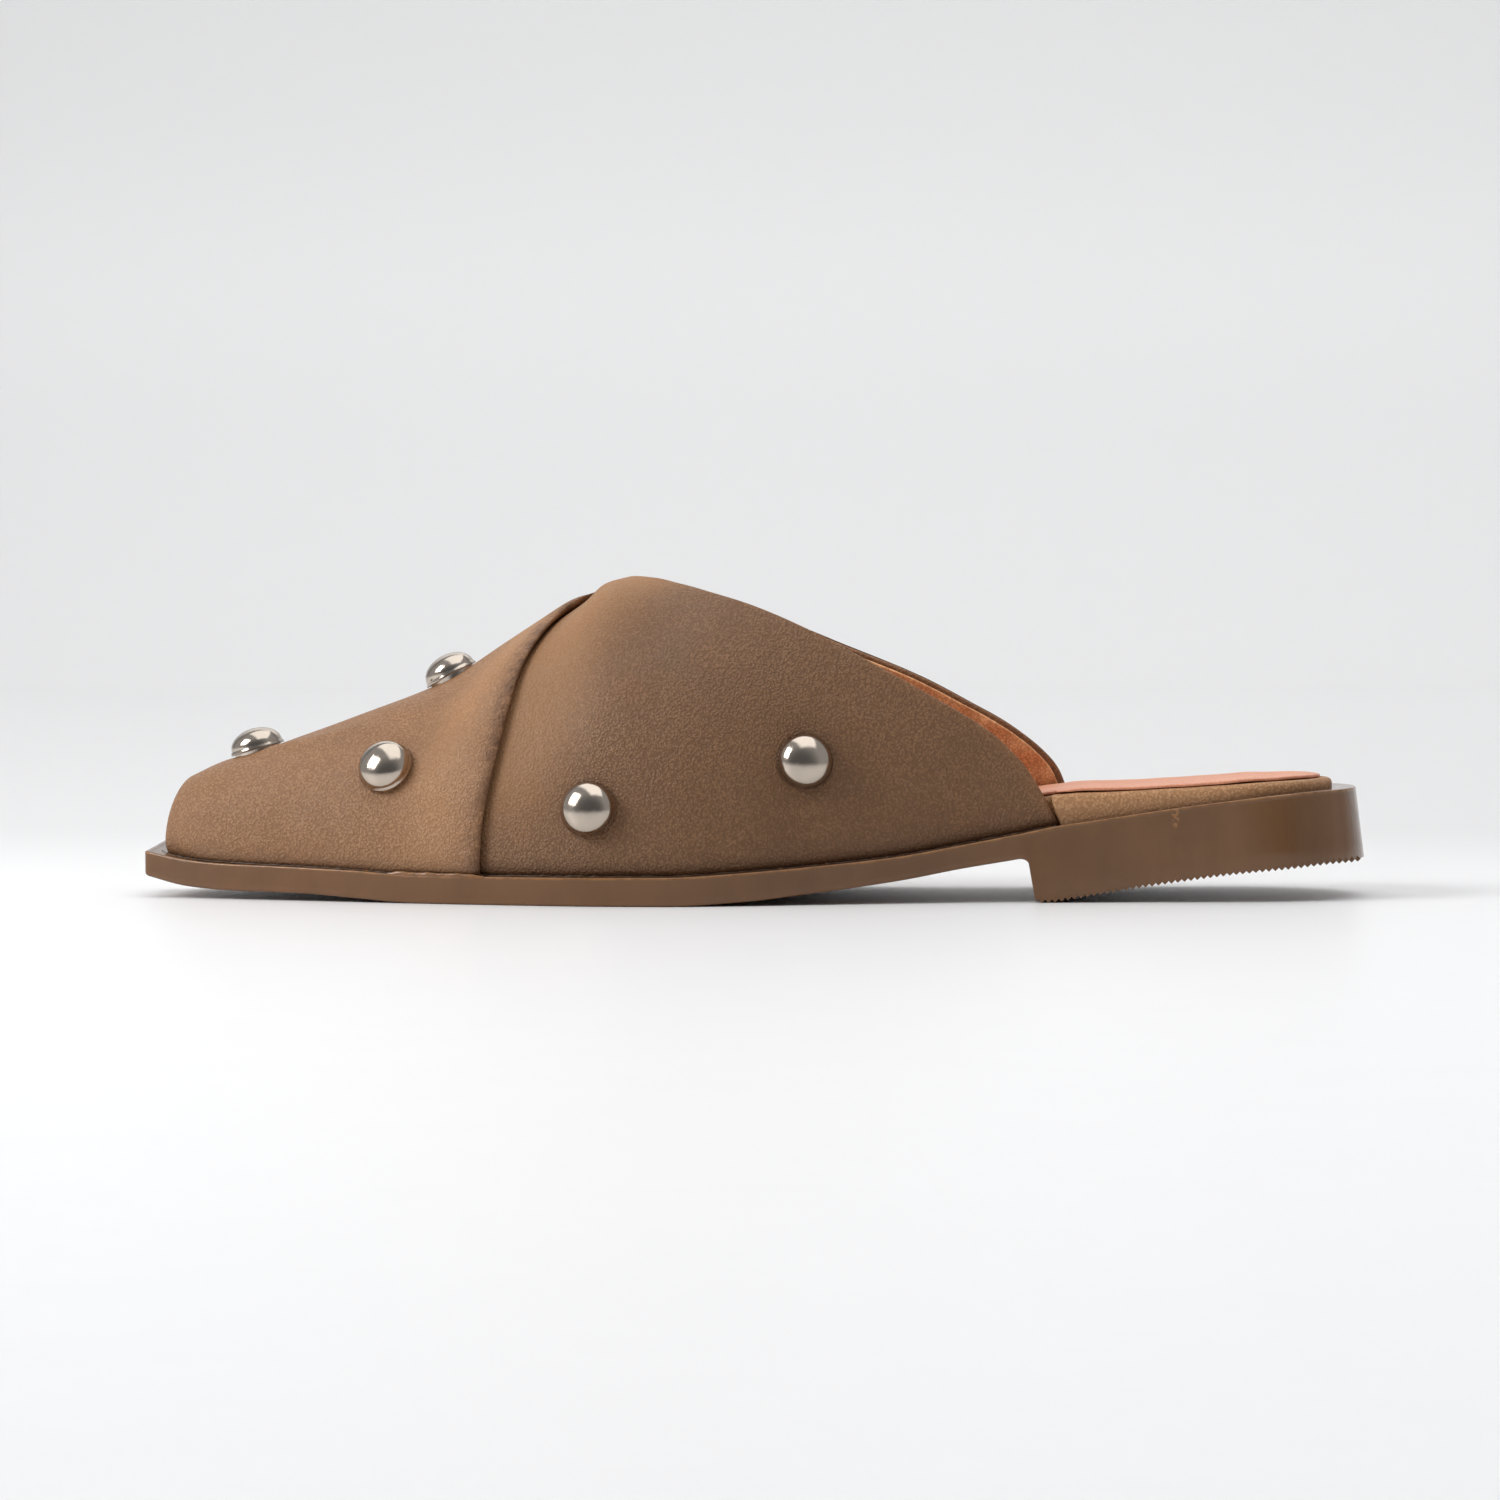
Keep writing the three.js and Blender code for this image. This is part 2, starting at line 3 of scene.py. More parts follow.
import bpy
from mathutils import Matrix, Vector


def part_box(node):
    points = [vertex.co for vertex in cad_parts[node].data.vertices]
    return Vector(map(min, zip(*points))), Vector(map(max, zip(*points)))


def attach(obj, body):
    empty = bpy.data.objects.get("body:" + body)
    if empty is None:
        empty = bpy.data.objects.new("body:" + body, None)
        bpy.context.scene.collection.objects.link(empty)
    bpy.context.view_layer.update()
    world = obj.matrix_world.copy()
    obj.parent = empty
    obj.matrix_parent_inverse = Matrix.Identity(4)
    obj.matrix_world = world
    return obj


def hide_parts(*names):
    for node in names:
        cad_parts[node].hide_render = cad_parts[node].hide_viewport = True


bl_info = {
    "name": "Mule shoe",
    "version": (1, 0, 0),
    "blender": (4, 5, 0),
    "location": "3D View > Sidebar > Shoe",
    "description": "Builds the leathers, the moulded sole and the studs of a mule around its solid model",
    "category": "Object",
}

import math

import bmesh
import bpy
import numpy as np
from mathutils import Matrix, Vector

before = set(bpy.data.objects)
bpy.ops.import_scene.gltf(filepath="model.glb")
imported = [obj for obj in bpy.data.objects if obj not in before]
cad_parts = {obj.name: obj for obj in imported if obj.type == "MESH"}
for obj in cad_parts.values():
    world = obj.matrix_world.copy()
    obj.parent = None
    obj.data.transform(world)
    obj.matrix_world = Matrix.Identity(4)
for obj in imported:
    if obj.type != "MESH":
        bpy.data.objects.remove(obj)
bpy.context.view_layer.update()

MM = 0.001


def table(names, rows):
    """Named columns from rows of numbers."""
    return dict(zip(names.split(), np.array(rows, float).T))


# Sole, in millimetres from the toe along x, with the outer side of the foot along -y
SOLE_LENGTH = 270.0
BALL_WIDTH = 86.0
HEEL_WIDTH = 57.5
TOE_WIDTH = 28.0
SOLE_THICKNESS = 6.3
TOE_SPRING = 4.8
TOE_TWIST = 0.045
SEAT_TILT = 0.012
SHANK_RISE = 17.6
HEEL_LENGTH = 74.0
HEEL_BACK_LIFT = 7.9
HEEL_LEAN = 0.12
HEEL_ROUND = 30.0
HEEL_ROUND_POWER = 2.4
BREAST_FILLET = 1.4
BREAST_SLOPE = 0.4
SOLE_EDGE_ROUND = 0.7
HEEL_EDGE_ROUND = 0.12
SOLE_TOE_CORNER = 0.8
SOLE_BACK_AT = SOLE_LENGTH - HEEL_LEAN * (SHANK_RISE + SOLE_THICKNESS - HEEL_BACK_LIFT)
BREAST_AT = SOLE_LENGTH - HEEL_LENGTH

RIB_END_GAP = 0.04

# Footbed and sock
FOOTBED_THICKNESS = 3.0
FOOTBED_LEDGE = 1.8
FOOTBED_BACK_LEDGE = 5.2
FOOTBED_EDGE_ROUND = 1.3
FOOTBED_CLEARANCE = 0.6
FOOTBED_END_GAP = 1.0
FOOTBED_END_LEAN = 2.4
SOCK_THICKNESS = 0.65
SOCK_MARGIN = 1.0
SOCK_BACK_MARGIN = 2.8

# Upper
UPPER_TOE_LEDGE = 4.1
UPPER_SIDE_LEDGE = 2.6
UPPER_TOE_WIDTH = 16.0
UPPER_TOE_HEIGHT = 5.0
TOE_CORNER_LENGTH = 11.0
TOE_CROWN_LENGTH = 5.0
INSTEP_RISE = 63.0
WALL_THICKNESS = 2.0
LEATHER_THICKNESS = 1.1
WRAP_THICKNESS = 1.3
WRAP_EDGE_LIFT = 0.6
WRAP_LIFT_LENGTH = 15.0
WRAP_TOE_THINNING = 1.25
WRAP_THROAT_THINNING = 1.3
SEAT_GAP = 0.3
LAYER_GAP = 0.5
THROAT_AT = 107.0
COLLAR_END_AT = 203.2
COLLAR_CHANGEOVER = 0.25
INNER_COLLAR_REACH = 2.3
INNER_REACH_FROM = 0.15
INNER_REACH_OVER = 0.25
COLLAR_HALVINGS = 36
LINING_STOP = 1.6
FOOT_TUCK = 0.75
FOOT_TUCK_HEIGHT = 0.9
FOOT_SHADE_HEIGHT = 1.6
TOE_THINNING_LENGTH = 14
THROAT_THINNING_LENGTH = 12
SEAM_TUCK = 0.62

# Widths of the sole from its middle line, in millimetres
SOLE_OUTLINE = table("along outer inner", [
    (0.000, 0.500 * TOE_WIDTH, 0.500 * TOE_WIDTH),
    (0.037, 0.640 * TOE_WIDTH, 0.625 * TOE_WIDTH),
    (0.074, 0.247 * BALL_WIDTH, 0.250 * BALL_WIDTH),
    (0.141, 0.314 * BALL_WIDTH, 0.326 * BALL_WIDTH),
    (0.226, 0.395 * BALL_WIDTH, 0.413 * BALL_WIDTH),
    (0.285, 0.448 * BALL_WIDTH, 0.463 * BALL_WIDTH),
    (0.341, 0.492 * BALL_WIDTH, 0.488 * BALL_WIDTH),
    (0.393, 0.521 * BALL_WIDTH, 0.477 * BALL_WIDTH),
    (0.440, 0.527 * BALL_WIDTH, 0.444 * BALL_WIDTH),
    (0.496, 0.498 * BALL_WIDTH, 0.395 * BALL_WIDTH),
    (0.556, 0.448 * BALL_WIDTH, 0.343 * BALL_WIDTH),
    (0.630, 0.393 * BALL_WIDTH, 0.302 * BALL_WIDTH),
    (0.696, 0.530 * HEEL_WIDTH, 0.449 * HEEL_WIDTH),
    (0.752, 0.504 * HEEL_WIDTH, 0.473 * HEEL_WIDTH),
    (0.815, 0.497 * HEEL_WIDTH, 0.501 * HEEL_WIDTH),
    (0.881, 0.496 * HEEL_WIDTH, 0.504 * HEEL_WIDTH),
    (1.000, 0.496 * HEEL_WIDTH, 0.504 * HEEL_WIDTH),
])

# Side view of the sole: shares of the toe spring, the shank's rise, the sole's thickness
# and the footbed's thickness
SOLE_PROFILE = table("along spring rise thick board", [
    (0.000, 1.00, 0.000, 0.87, 1.00),
    (0.037, 0.58, 0.000, 0.94, 1.00),
    (0.074, 0.43, 0.000, 0.94, 1.00),
    (0.141, 0.33, 0.000, 0.92, 1.00),
    (0.185, 0.17, 0.000, 0.97, 1.00),
    (0.237, 0.00, 0.000, 0.98, 1.00),
    (0.333, 0.00, 0.000, 0.98, 1.00),
    (0.437, 0.00, 0.000, 1.00, 1.00),
    (0.504, 0.00, 0.051, 1.00, 1.15),
    (0.548, 0.00, 0.125, 0.94, 1.35),
    (0.626, 0.00, 0.284, 0.84, 1.80),
    (0.674, 0.00, 0.420, 0.82, 2.05),
    (0.719, 0.00, 0.535, 0.86, 2.20),
    (0.752, 0.00, 0.635, 0.87, 2.15),
    (0.802, 0.00, 0.750, 0.87, 1.70),
    (0.843, 0.00, 0.846, 0.87, 1.36),
    (0.889, 0.00, 0.940, 0.87, 1.05),
    (0.930, 0.00, 1.005, 0.88, 0.86),
    (0.963, 0.00, 1.040, 0.88, 0.74),
    (1.000, 0.00, 1.055, 0.88, 0.70),
])

# Under face of the heel, from its breast to its back, as a share of the lift at the back
HEEL_UNDER = table("along lift", [
    (0.00, 0.00), (0.04, 0.00), (0.12, 0.10), (0.20, 0.22), (0.30, 0.38), (0.43, 0.56),
    (0.58, 0.75), (0.74, 0.89), (0.90, 1.00), (1.00, 1.00),
])

# Cross sections of the upper: its ridge, the ridge's lean to the inner side, and how round
# the top and the sides are
UPPER_SECTIONS = table("along ridge lean crown wall", [
    (0.015, 0.228, 0.000, 0.78, 0.84),
    (0.063, 0.318, 0.000, 0.80, 0.86),
    (0.113, 0.391, 0.002, 0.84, 0.90),
    (0.172, 0.489, 0.006, 0.90, 0.98),
    (0.226, 0.590, 0.012, 0.94, 1.04),
    (0.267, 0.683, 0.020, 0.97, 1.08),
    (0.305, 0.788, 0.028, 1.00, 1.10),
    (0.341, 0.879, 0.034, 1.00, 1.10),
    (0.361, 0.934, 0.038, 1.00, 1.08),
    (0.381, 0.994, 0.040, 1.00, 1.06),
    (0.396, 1.010, 0.042, 1.00, 1.05),
    (0.444, 1.047, 0.042, 1.00, 1.02),
    (0.519, 1.076, 0.034, 1.00, 1.00),
    (0.611, 1.080, 0.018, 1.00, 1.00),
    (0.704, 1.050, 0.004, 1.00, 1.00),
    (0.760, 1.015, 0.000, 1.00, 1.00),
])

# Collar in the side view, from the throat to its end at the sole
COLLAR_LINE = table("back outer inner", [
    (0.000, 1.012, 1.012), (0.073, 1.011, 0.980), (0.139, 0.995, 0.934),
    (0.211, 0.962, 0.895), (0.308, 0.907, 0.846), (0.447, 0.799, 0.745),
    (0.634, 0.617, 0.598), (0.767, 0.466, 0.456), (0.832, 0.386, 0.382),
    (0.884, 0.305, 0.312), (0.924, 0.225, 0.248), (0.963, 0.119, 0.165),
    (1.000, 0.000, 0.000),
])

# Rear edge of the wrapped panel, from the outer side of the sole over the ridge
WRAP_EDGE = table("around along", [
    (-1.000, 0.2896), (-0.870, 0.2915), (-0.680, 0.3010), (-0.410, 0.3195),
    (-0.290, 0.3284), (-0.155, 0.3375), (-0.080, 0.3450), (0.000, 0.3600),
    (0.080, 0.3750), (0.180, 0.3980), (0.280, 0.4300), (0.380, 0.4800),
    (0.480, 0.5500), (1.000, 0.9000),
])

# Studs: the node each stands for, whether it sits on the wrapped panel, and its place
STUDS = [
    ("stud_toe_ridge", True, 0.0882, 0.000),
    ("stud_vamp_ridge", True, 0.2515, 0.000),
    ("stud_vamp_outer", True, 0.2085, -0.598),
    ("stud_ball_outer", False, 0.3780, -0.852),
    ("stud_waist_outer", False, 0.5500, -0.786),
    ("stud_vamp_inner", True, 0.2024, 0.550),
    ("stud_ball_inner", True, 0.3755, 0.800),
    ("stud_waist_inner", True, 0.5500, 0.740),
]
STUD_RADIUS = 6.2
STUD_HEIGHT = 4.9
STUD_SKIRT_RADIUS = 5.35
STUD_SKIRT_DEPTH = 1.3
STUD_STAND = 0.1
STUD_BAND_TOP = 0.95
STUD_BEVEL = 0.34
STUD_DIMPLE = (-0.35, 6.5)

# Painted highlight on the leather, behind and before the fold: the way as x and share
# around, its width and its strength
QUARTER_HIGHLIGHT = ((116, -0.04), (104, -0.13), (97, -0.27), (92, -0.42), (88, -0.58), (85, -0.72)), 11.5, 1.0
WRAP_HIGHLIGHT = ((94, -0.02), (82, -0.24), (74, -0.48), (69, -0.70), (67, -0.90)), 8.0, 0.42
HIGHLIGHT_STEPS = 40
HIGHLIGHT_FADE = 0.45

# Soft ridges and troughs of the leather: height and width, then the way as x and share around
CREASES = [
    (0.65, 2.6, ((20, -0.06), (29, -0.18), (36, -0.26), (47, -0.28), (54, -0.37))),
    (-0.60, 2.8, ((22, -0.20), (31, -0.31), (39, -0.38), (50, -0.41), (56, -0.46))),
    (0.80, 7.0, ((126, -0.02), (112, -0.06), (104, -0.10), (98, -0.16))),
    (1.60, 8.5, ((112, -0.10), (97, -0.30), (80, -0.45), (66, -0.56))),
    (0.45, 5.0, ((88, -0.16), (78, -0.42), (71, -0.62), (67, -0.84))),
    (-0.35, 5.0, ((76, -0.14), (68, -0.38), (61, -0.56), (57, -0.80))),
    (-0.35, 7.0, ((118, -0.30), (108, -0.46), (94, -0.60), (82, -0.70))),
    (0.30, 4.0, ((150, -0.66), (166, -0.74), (184, -0.86))),
    (-0.30, 4.5, ((144, -0.74), (160, -0.82), (176, -0.90))),
    (0.30, 3.0, ((30, 0.24), (44, 0.34), (60, 0.44))),
    (-0.25, 3.0, ((28, 0.36), (42, 0.46), (58, 0.56))),
    (0.60, 8.0, ((112, 0.34), (96, 0.48), (80, 0.62))),
]
CREASE_STEPS = 48
CREASE_FADE = 0.3

# Sliver of torn plastic on the sole's outer edge: its ends, and its section as shares of its
# width and height
FLASH_START = 57.0
FLASH_END = 79.0
FLASH_SECTION = [
    (0.02, -0.75), (-0.16, -0.30), (0.0, 0.12), (0.5, 0.16), (1.0, 0.05), (0.9, -0.10), (0.35, -0.12),
]

# Scuffs on the heel's outer side: place along and up, width and height
SCUFFS = [(228.5, 19.0, 1.2, 4.2), (226.5, 21.5, 3.2, 0.9), (249.0, 24.0, 0.7, 1.6)]
SCUFF_SIDE_AT = 229.0
SCUFF_REACH = 12.0

# How strongly each mask changes a leather's colour, and what the colour is taken times there: the grain's
# pits and tips, the painted highlight, the edges, and painted shade at the foot
PIT_STRENGTH = 0.74
TIP_STRENGTH = 0.36
TIP_SHARES = (1.20, 1.26, 1.34)
HIGHLIGHT_STRENGTH = 0.85
HIGHLIGHT_SHARES = (1.84, 1.86, 1.82)
EDGE_STRENGTH = 0.9
FOOT_SHADE_STRENGTH = 0.75
FOOT_SHADE_SHARE = 0.45

# Stage, in metres: the paper's front end, where its floor ends, its sweep, half width and height, then the
# share of its colour kept at the back as painted shade, and the strength of the surroundings
PAPER_FRONT = -2.6
PAPER_FLOOR_END = 1.55
PAPER_SWEEP = 0.5
PAPER_HALF_WIDTH = 4.0
PAPER_HEIGHT = 3.6
PAPER_SHADE = 0.85
SURROUNDINGS = 0.46

# Lights: name, place, what each points at, its sizes and its watts
SOFTBOXES = [
    ("key", (-1.15, -0.55, 0.85), (-0.02, 0.0, 0.04), (0.75, 0.75), 14.0),
    ("top", (0.1, 0.05, 1.35), (0.0, 0.0, 0.0), (1.9, 1.2), 9.6),
    ("backdrop", (0.0, 1.35, 1.9), (0.0, 2.05, 1.4), (3.2, 0.9), 24.0),
]

# Camera, in metres and degrees, with its lens and sensor in millimetres
CAMERA_TARGET = (-0.0010, 0.0012, 0.0321)
CAMERA_DISTANCE = 1.2528
CAMERA_AZIMUTH = 4.5
CAMERA_ELEVATION = 2.2
CAMERA_ROLL = -0.22
CAMERA_LENS = 135.0
CAMERA_SENSOR = 36.0


# Form of the shoe

def slopes(x, y):
    """Slope at each row, flat at a high or low point so that nothing overshoots."""
    rise = np.diff(y) / np.diff(x)
    product = rise[:-1] * rise[1:]
    total = np.where(product > 0, rise[:-1] + rise[1:], 1.0)
    inner = np.where(product > 0, 2 * product / total, 0.0)
    return np.concatenate(([rise[0]], inner, [rise[-1]]))


def follow(rows, key, column, at):
    """Smooth value of a table's column at places between its rows."""
    x, y = rows[key], rows[column]
    at = np.clip(at, x[0], x[-1])
    i = np.clip(np.searchsorted(x, at) - 1, 0, len(x) - 2)
    span = x[i + 1] - x[i]
    t = (at - x[i]) / span
    m = slopes(x, y)
    leave, arrive = m[i] * span, m[i + 1] * span
    a, b = y[i], y[i + 1]
    return a + t * (leave + t * (3 * (b - a) - 2 * leave - arrive + t * (leave + arrive - 2 * (b - a))))


def smooth(t):
    """Soft step from 0 to 1."""
    t = np.clip(t, 0, 1)
    return t * t * (3 - 2 * t)


def half_width(x, side):
    """Half width of the sole, with its heel rounded off."""
    width = follow(SOLE_OUTLINE, "along", side, x / SOLE_LENGTH)
    t = np.clip((x - SOLE_BACK_AT + HEEL_ROUND) / HEEL_ROUND, 0, 1)
    return width * np.sqrt(1 - t ** HEEL_ROUND_POWER)


def sole_under(x):
    """Height of the sole's under face, without the heel."""
    at = x / SOLE_LENGTH
    return (TOE_SPRING * follow(SOLE_PROFILE, "along", "spring", at)
            + SHANK_RISE * follow(SOLE_PROFILE, "along", "rise", at))


def sole_top(x):
    """Height of the sole's top face."""
    return sole_under(x) + SOLE_THICKNESS * follow(SOLE_PROFILE, "along", "thick", x / SOLE_LENGTH)


def heel_under(x):
    """Height of the heel's under face."""
    return HEEL_BACK_LIFT * follow(HEEL_UNDER, "along", "lift", (x - BREAST_AT) / HEEL_LENGTH)


def footbed_top(x):
    """Height of the footbed's top face."""
    board = follow(SOLE_PROFILE, "along", "board", x / SOLE_LENGTH)
    return sole_top(x) + SEAT_GAP + FOOTBED_THICKNESS * board


def upper_section(x):
    """Sizes of the upper's outer form at x."""
    at = x / SOLE_LENGTH

    def rounding(length):
        t = np.clip((x - UPPER_TOE_LEDGE) / length, 0, 1)
        return np.sqrt(1 - (1 - t) ** 2)

    corner = rounding(TOE_CORNER_LENGTH)
    crown = rounding(TOE_CROWN_LENGTH)
    half_toe = UPPER_TOE_WIDTH / 2
    ridge = INSTEP_RISE * follow(UPPER_SECTIONS, "along", "ridge", at)
    return {
        "foot": sole_top(x) + SEAT_GAP,
        "outer": half_toe + (half_width(x, "outer") - UPPER_SIDE_LEDGE - half_toe) * corner,
        "inner": half_toe + (half_width(x, "inner") - UPPER_SIDE_LEDGE - half_toe) * corner,
        "ridge": UPPER_TOE_HEIGHT + (ridge - UPPER_TOE_HEIGHT) * crown,
        "lean": BALL_WIDTH * follow(UPPER_SECTIONS, "along", "lean", at),
        "crown": follow(UPPER_SECTIONS, "along", "crown", at),
        "wall": follow(UPPER_SECTIONS, "along", "wall", at),
    }


def upper_point(x, around, size=1.0):
    """Points of the upper's outer form: around runs from -1 over the ridge at 0 to 1."""
    x, around, size = np.broadcast_arrays(np.asarray(x, float), around, size)
    s = upper_section(x)
    turn = np.abs(around) * (math.pi / 2)
    reach = np.where(around < 0, -s["outer"] - s["lean"], s["inner"] - s["lean"])
    y = s["lean"] + reach * np.sin(turn) ** s["wall"]
    up = np.where(np.abs(around) < 1, np.maximum(0, np.cos(turn)) ** s["crown"], 0)
    return np.stack([x, y * size, s["foot"] + s["ridge"] * up * size], axis=-1)


def upper_normal(x, around):
    """Directions that lead straight out of the upper's form."""
    x, around = np.broadcast_arrays(np.asarray(x, float), around)
    step, turn = 0.02, 0.002
    along = upper_point(x + step, around) - upper_point(x, around)
    over = (upper_point(x, np.minimum(1, around + turn))
            - upper_point(x, np.maximum(-1, around - turn)))
    normal = np.cross(along, over)
    normal[..., 2] = np.where(np.abs(around) >= 1, 0, normal[..., 2])
    normal /= np.linalg.norm(normal, axis=-1, keepdims=True)
    return np.where((x <= UPPER_TOE_LEDGE)[..., None], (-1.0, 0.0, 0.0), normal)


def skin_point(x, around, size, distance):
    """Points at a distance from the upper's outer form, standing on the sole at its foot."""
    x, around, size, distance = np.broadcast_arrays(np.asarray(x, float), around, size, distance)
    point = upper_point(x, around, size) + upper_normal(x, around) * distance[..., None]
    on_sole = (np.abs(around) >= 1) | (size == 0)
    point[..., 2] = np.where(on_sole, sole_top(point[..., 0]) + 0.02, point[..., 2])
    return point


def collar_height(x, around):
    """Height of the collar over the sole's top, on the outer or the inner side."""
    back = (x - THROAT_AT) / (COLLAR_END_AT - THROAT_AT)
    inner = smooth(around / COLLAR_CHANGEOVER)
    outer_rise = follow(COLLAR_LINE, "back", "outer", back)
    return INSTEP_RISE * (outer_rise + inner * (follow(COLLAR_LINE, "back", "inner", back) - outer_rise))


def collar_at(around):
    """Where the upper ends on the lines that go around at these shares, found by halving."""
    around = np.asarray(around, float)
    front = np.full(around.shape, THROAT_AT)
    back = np.full(around.shape, COLLAR_END_AT)
    for _ in range(COLLAR_HALVINGS):
        x = (front + back) / 2
        rise = upper_point(x, around)[..., 2] - sole_top(x) - SEAT_GAP
        below = rise < collar_height(x, around)
        front = np.where(below, x, front)
        back = np.where(below, back, x)
    reach = INNER_COLLAR_REACH * smooth((around - INNER_REACH_FROM) / INNER_REACH_OVER)
    return (front + back) / 2 + reach


def wrap_end_at(around):
    """Where the wrapped panel ends on the lines that go around at these shares."""
    return np.minimum(SOLE_LENGTH * follow(WRAP_EDGE, "around", "along", around), collar_at(around))


def way_over_form(way, count):
    """How far along a way lie its points on the form, and the points; it is given as x and share around."""
    way = np.array(way, float)
    share = np.linspace(0, 1, count)
    knots = np.linspace(0, 1, len(way))
    return share, upper_point(np.interp(share, knots, way[:, 0]), np.interp(share, knots, way[:, 1]))


def relief(x, around):
    """How far the leather stands out of its form or sinks in, at its creases and studs."""
    places = upper_point(x, around)
    total = np.zeros(places.shape[:-1])
    for height, width, way in CREASES:
        nearest = np.full(total.shape, np.inf)
        fade = np.zeros(total.shape)
        for at, spot in zip(*way_over_form(way, CREASE_STEPS)):
            distance = np.linalg.norm(places - spot, axis=-1)
            closer = distance < nearest
            nearest = np.where(closer, distance, nearest)
            fade = np.where(closer, smooth(min(at, 1 - at) / CREASE_FADE), fade)
        total += height * fade * np.exp(-(nearest / width) ** 2)
    depth, width = STUD_DIMPLE
    for _, _, along, share in STUDS:
        distance = np.linalg.norm(places - upper_point(along * SOLE_LENGTH, share), axis=-1)
        total += depth * np.exp(-(distance / width) ** 2)
    return total


def painted_highlight(x, around, way, width, strength):
    """How close the leather lies to the line of its painted highlight, from 0 to its strength."""
    places = upper_point(x, around)
    total = np.zeros(places.shape[:-1])
    for at, spot in zip(*way_over_form(way, HIGHLIGHT_STEPS)):
        distance = np.linalg.norm(places - spot, axis=-1)
        total = np.maximum(total, (1 - HIGHLIGHT_FADE * at) * np.exp(-(distance / width) ** 2))
    return total * strength


def shift():
    """Where the toe's middle on the floor lies in the frame, in metres."""
    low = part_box("outsole")[0]
    widest = half_width(np.linspace(0, SOLE_LENGTH, 2001), "outer").max()
    return np.array([low[0], low[1] + widest * MM, low[2]])


def linear(red, green, blue):
    """A colour seen on screen, from 0 to 255, as the light it stands for."""
    def light(value):
        value /= 255
        return value / 12.92 if value <= 0.04045 else ((value + 0.055) / 1.055) ** 2.4
    return light(red), light(green), light(blue)


def scaled(colour, *shares):
    """A colour with its red, green and blue each taken times a share."""
    return tuple(min(1.0, value * share) for value, share in zip(colour, shares))


# Nodes

def put(tree, kind, links=None, **settings):
    """A node with its settings; links gives each input a value or another node's output."""
    node = tree.nodes.new(kind)
    for key, value in settings.items():
        setattr(node, key, value)
    for key, value in (links or {}).items():
        if isinstance(value, bpy.types.NodeSocket):
            tree.links.new(value, node.inputs[key])
        else:
            node.inputs[key].default_value = value
    return node


def maths(tree, operation, a, b=0.0, clamp=False):
    """A number worked out from one or two others."""
    return put(tree, "ShaderNodeMath", {0: a, 1: b}, operation=operation, use_clamp=clamp).outputs[0]


def vector_maths(tree, operation, a, b=(0.0, 0.0, 0.0)):
    """A vector worked out from one or two others."""
    return put(tree, "ShaderNodeVectorMath", {0: a, 1: b}, operation=operation).outputs[0]


def blend_colours(tree, factor, a, b):
    """One colour laid over another as strongly as the factor says."""
    links = {0: factor, 6: a if isinstance(a, bpy.types.NodeSocket) else (*a, 1.0),
             7: b if isinstance(b, bpy.types.NodeSocket) else (*b, 1.0)}
    return put(tree, "ShaderNodeMix", links, data_type="RGBA").outputs[2]


def between(tree, value, low, high, to_low=0.0, to_high=1.0):
    """A value spread from one range to another, softly and clamped."""
    links = {"Value": value, "From Min": low, "From Max": high, "To Min": to_low, "To Max": to_high}
    return put(tree, "ShaderNodeMapRange", links, interpolation_type="SMOOTHSTEP").outputs[0]


def noise(tree, vector, scale, detail=3.0, roughness=0.5):
    """Cloudy values, about 0.5 in the mean."""
    links = {"Vector": vector, "Scale": scale, "Detail": detail, "Roughness": roughness}
    return put(tree, "ShaderNodeTexNoise", links).outputs[0]


def new_group(name, inputs, outputs):
    """An empty shader group with named inputs (name, kind, default) and outputs (name, kind)."""
    tree = bpy.data.node_groups.new(name, "ShaderNodeTree")
    for label, kind, default in inputs:
        socket = tree.interface.new_socket(label, in_out="INPUT", socket_type=kind)
        if default is not None:
            socket.default_value = default
    for label, kind in outputs:
        tree.interface.new_socket(label, in_out="OUTPUT", socket_type=kind)
    return tree, tree.nodes.new("NodeGroupInput").outputs, tree.nodes.new("NodeGroupOutput").inputs


def fine_grain_group():
    """Pebbled leather grain: cells of uneven size, with hair fine wrinkles between them."""
    tree, given, out = new_group(
        "fine_grain",
        [("Vector", "NodeSocketVector", None), ("Scale", "NodeSocketFloat", 1500.0)],
        [("Height", "NodeSocketFloat"), ("Pits", "NodeSocketFloat"), ("Tips", "NodeSocketFloat")])
    bend = put(tree, "ShaderNodeTexNoise", {"Vector": given["Vector"], "Scale": 420.0, "Detail": 2.0})
    push = vector_maths(tree, "SCALE", bend.outputs["Color"])
    push.node.inputs["Scale"].default_value = 0.0006
    bent = vector_maths(tree, "ADD", given["Vector"], push)
    cells = put(tree, "ShaderNodeTexVoronoi",
                {"Vector": bent, "Scale": given["Scale"], "Smoothness": 0.35}, feature="SMOOTH_F1")
    wide = noise(tree, given["Vector"], maths(tree, "MULTIPLY", given["Scale"], 0.30), 4.0, 0.62)
    fine = noise(tree, given["Vector"], maths(tree, "MULTIPLY", given["Scale"], 0.85), 2.0)
    pebble = maths(tree, "SUBTRACT", 1.0, cells.outputs["Distance"], clamp=True)
    height = maths(tree, "ADD", maths(tree, "MULTIPLY", pebble, 0.6), maths(tree, "MULTIPLY", wide, 0.22))
    height = maths(tree, "ADD", height, maths(tree, "MULTIPLY", fine, 0.48))
    tree.links.new(height, out["Height"])
    tree.links.new(between(tree, height, 0.58, 0.78, 1.0, 0.0), out["Pits"])
    tree.links.new(between(tree, height, 0.68, 0.88), out["Tips"])
    return tree


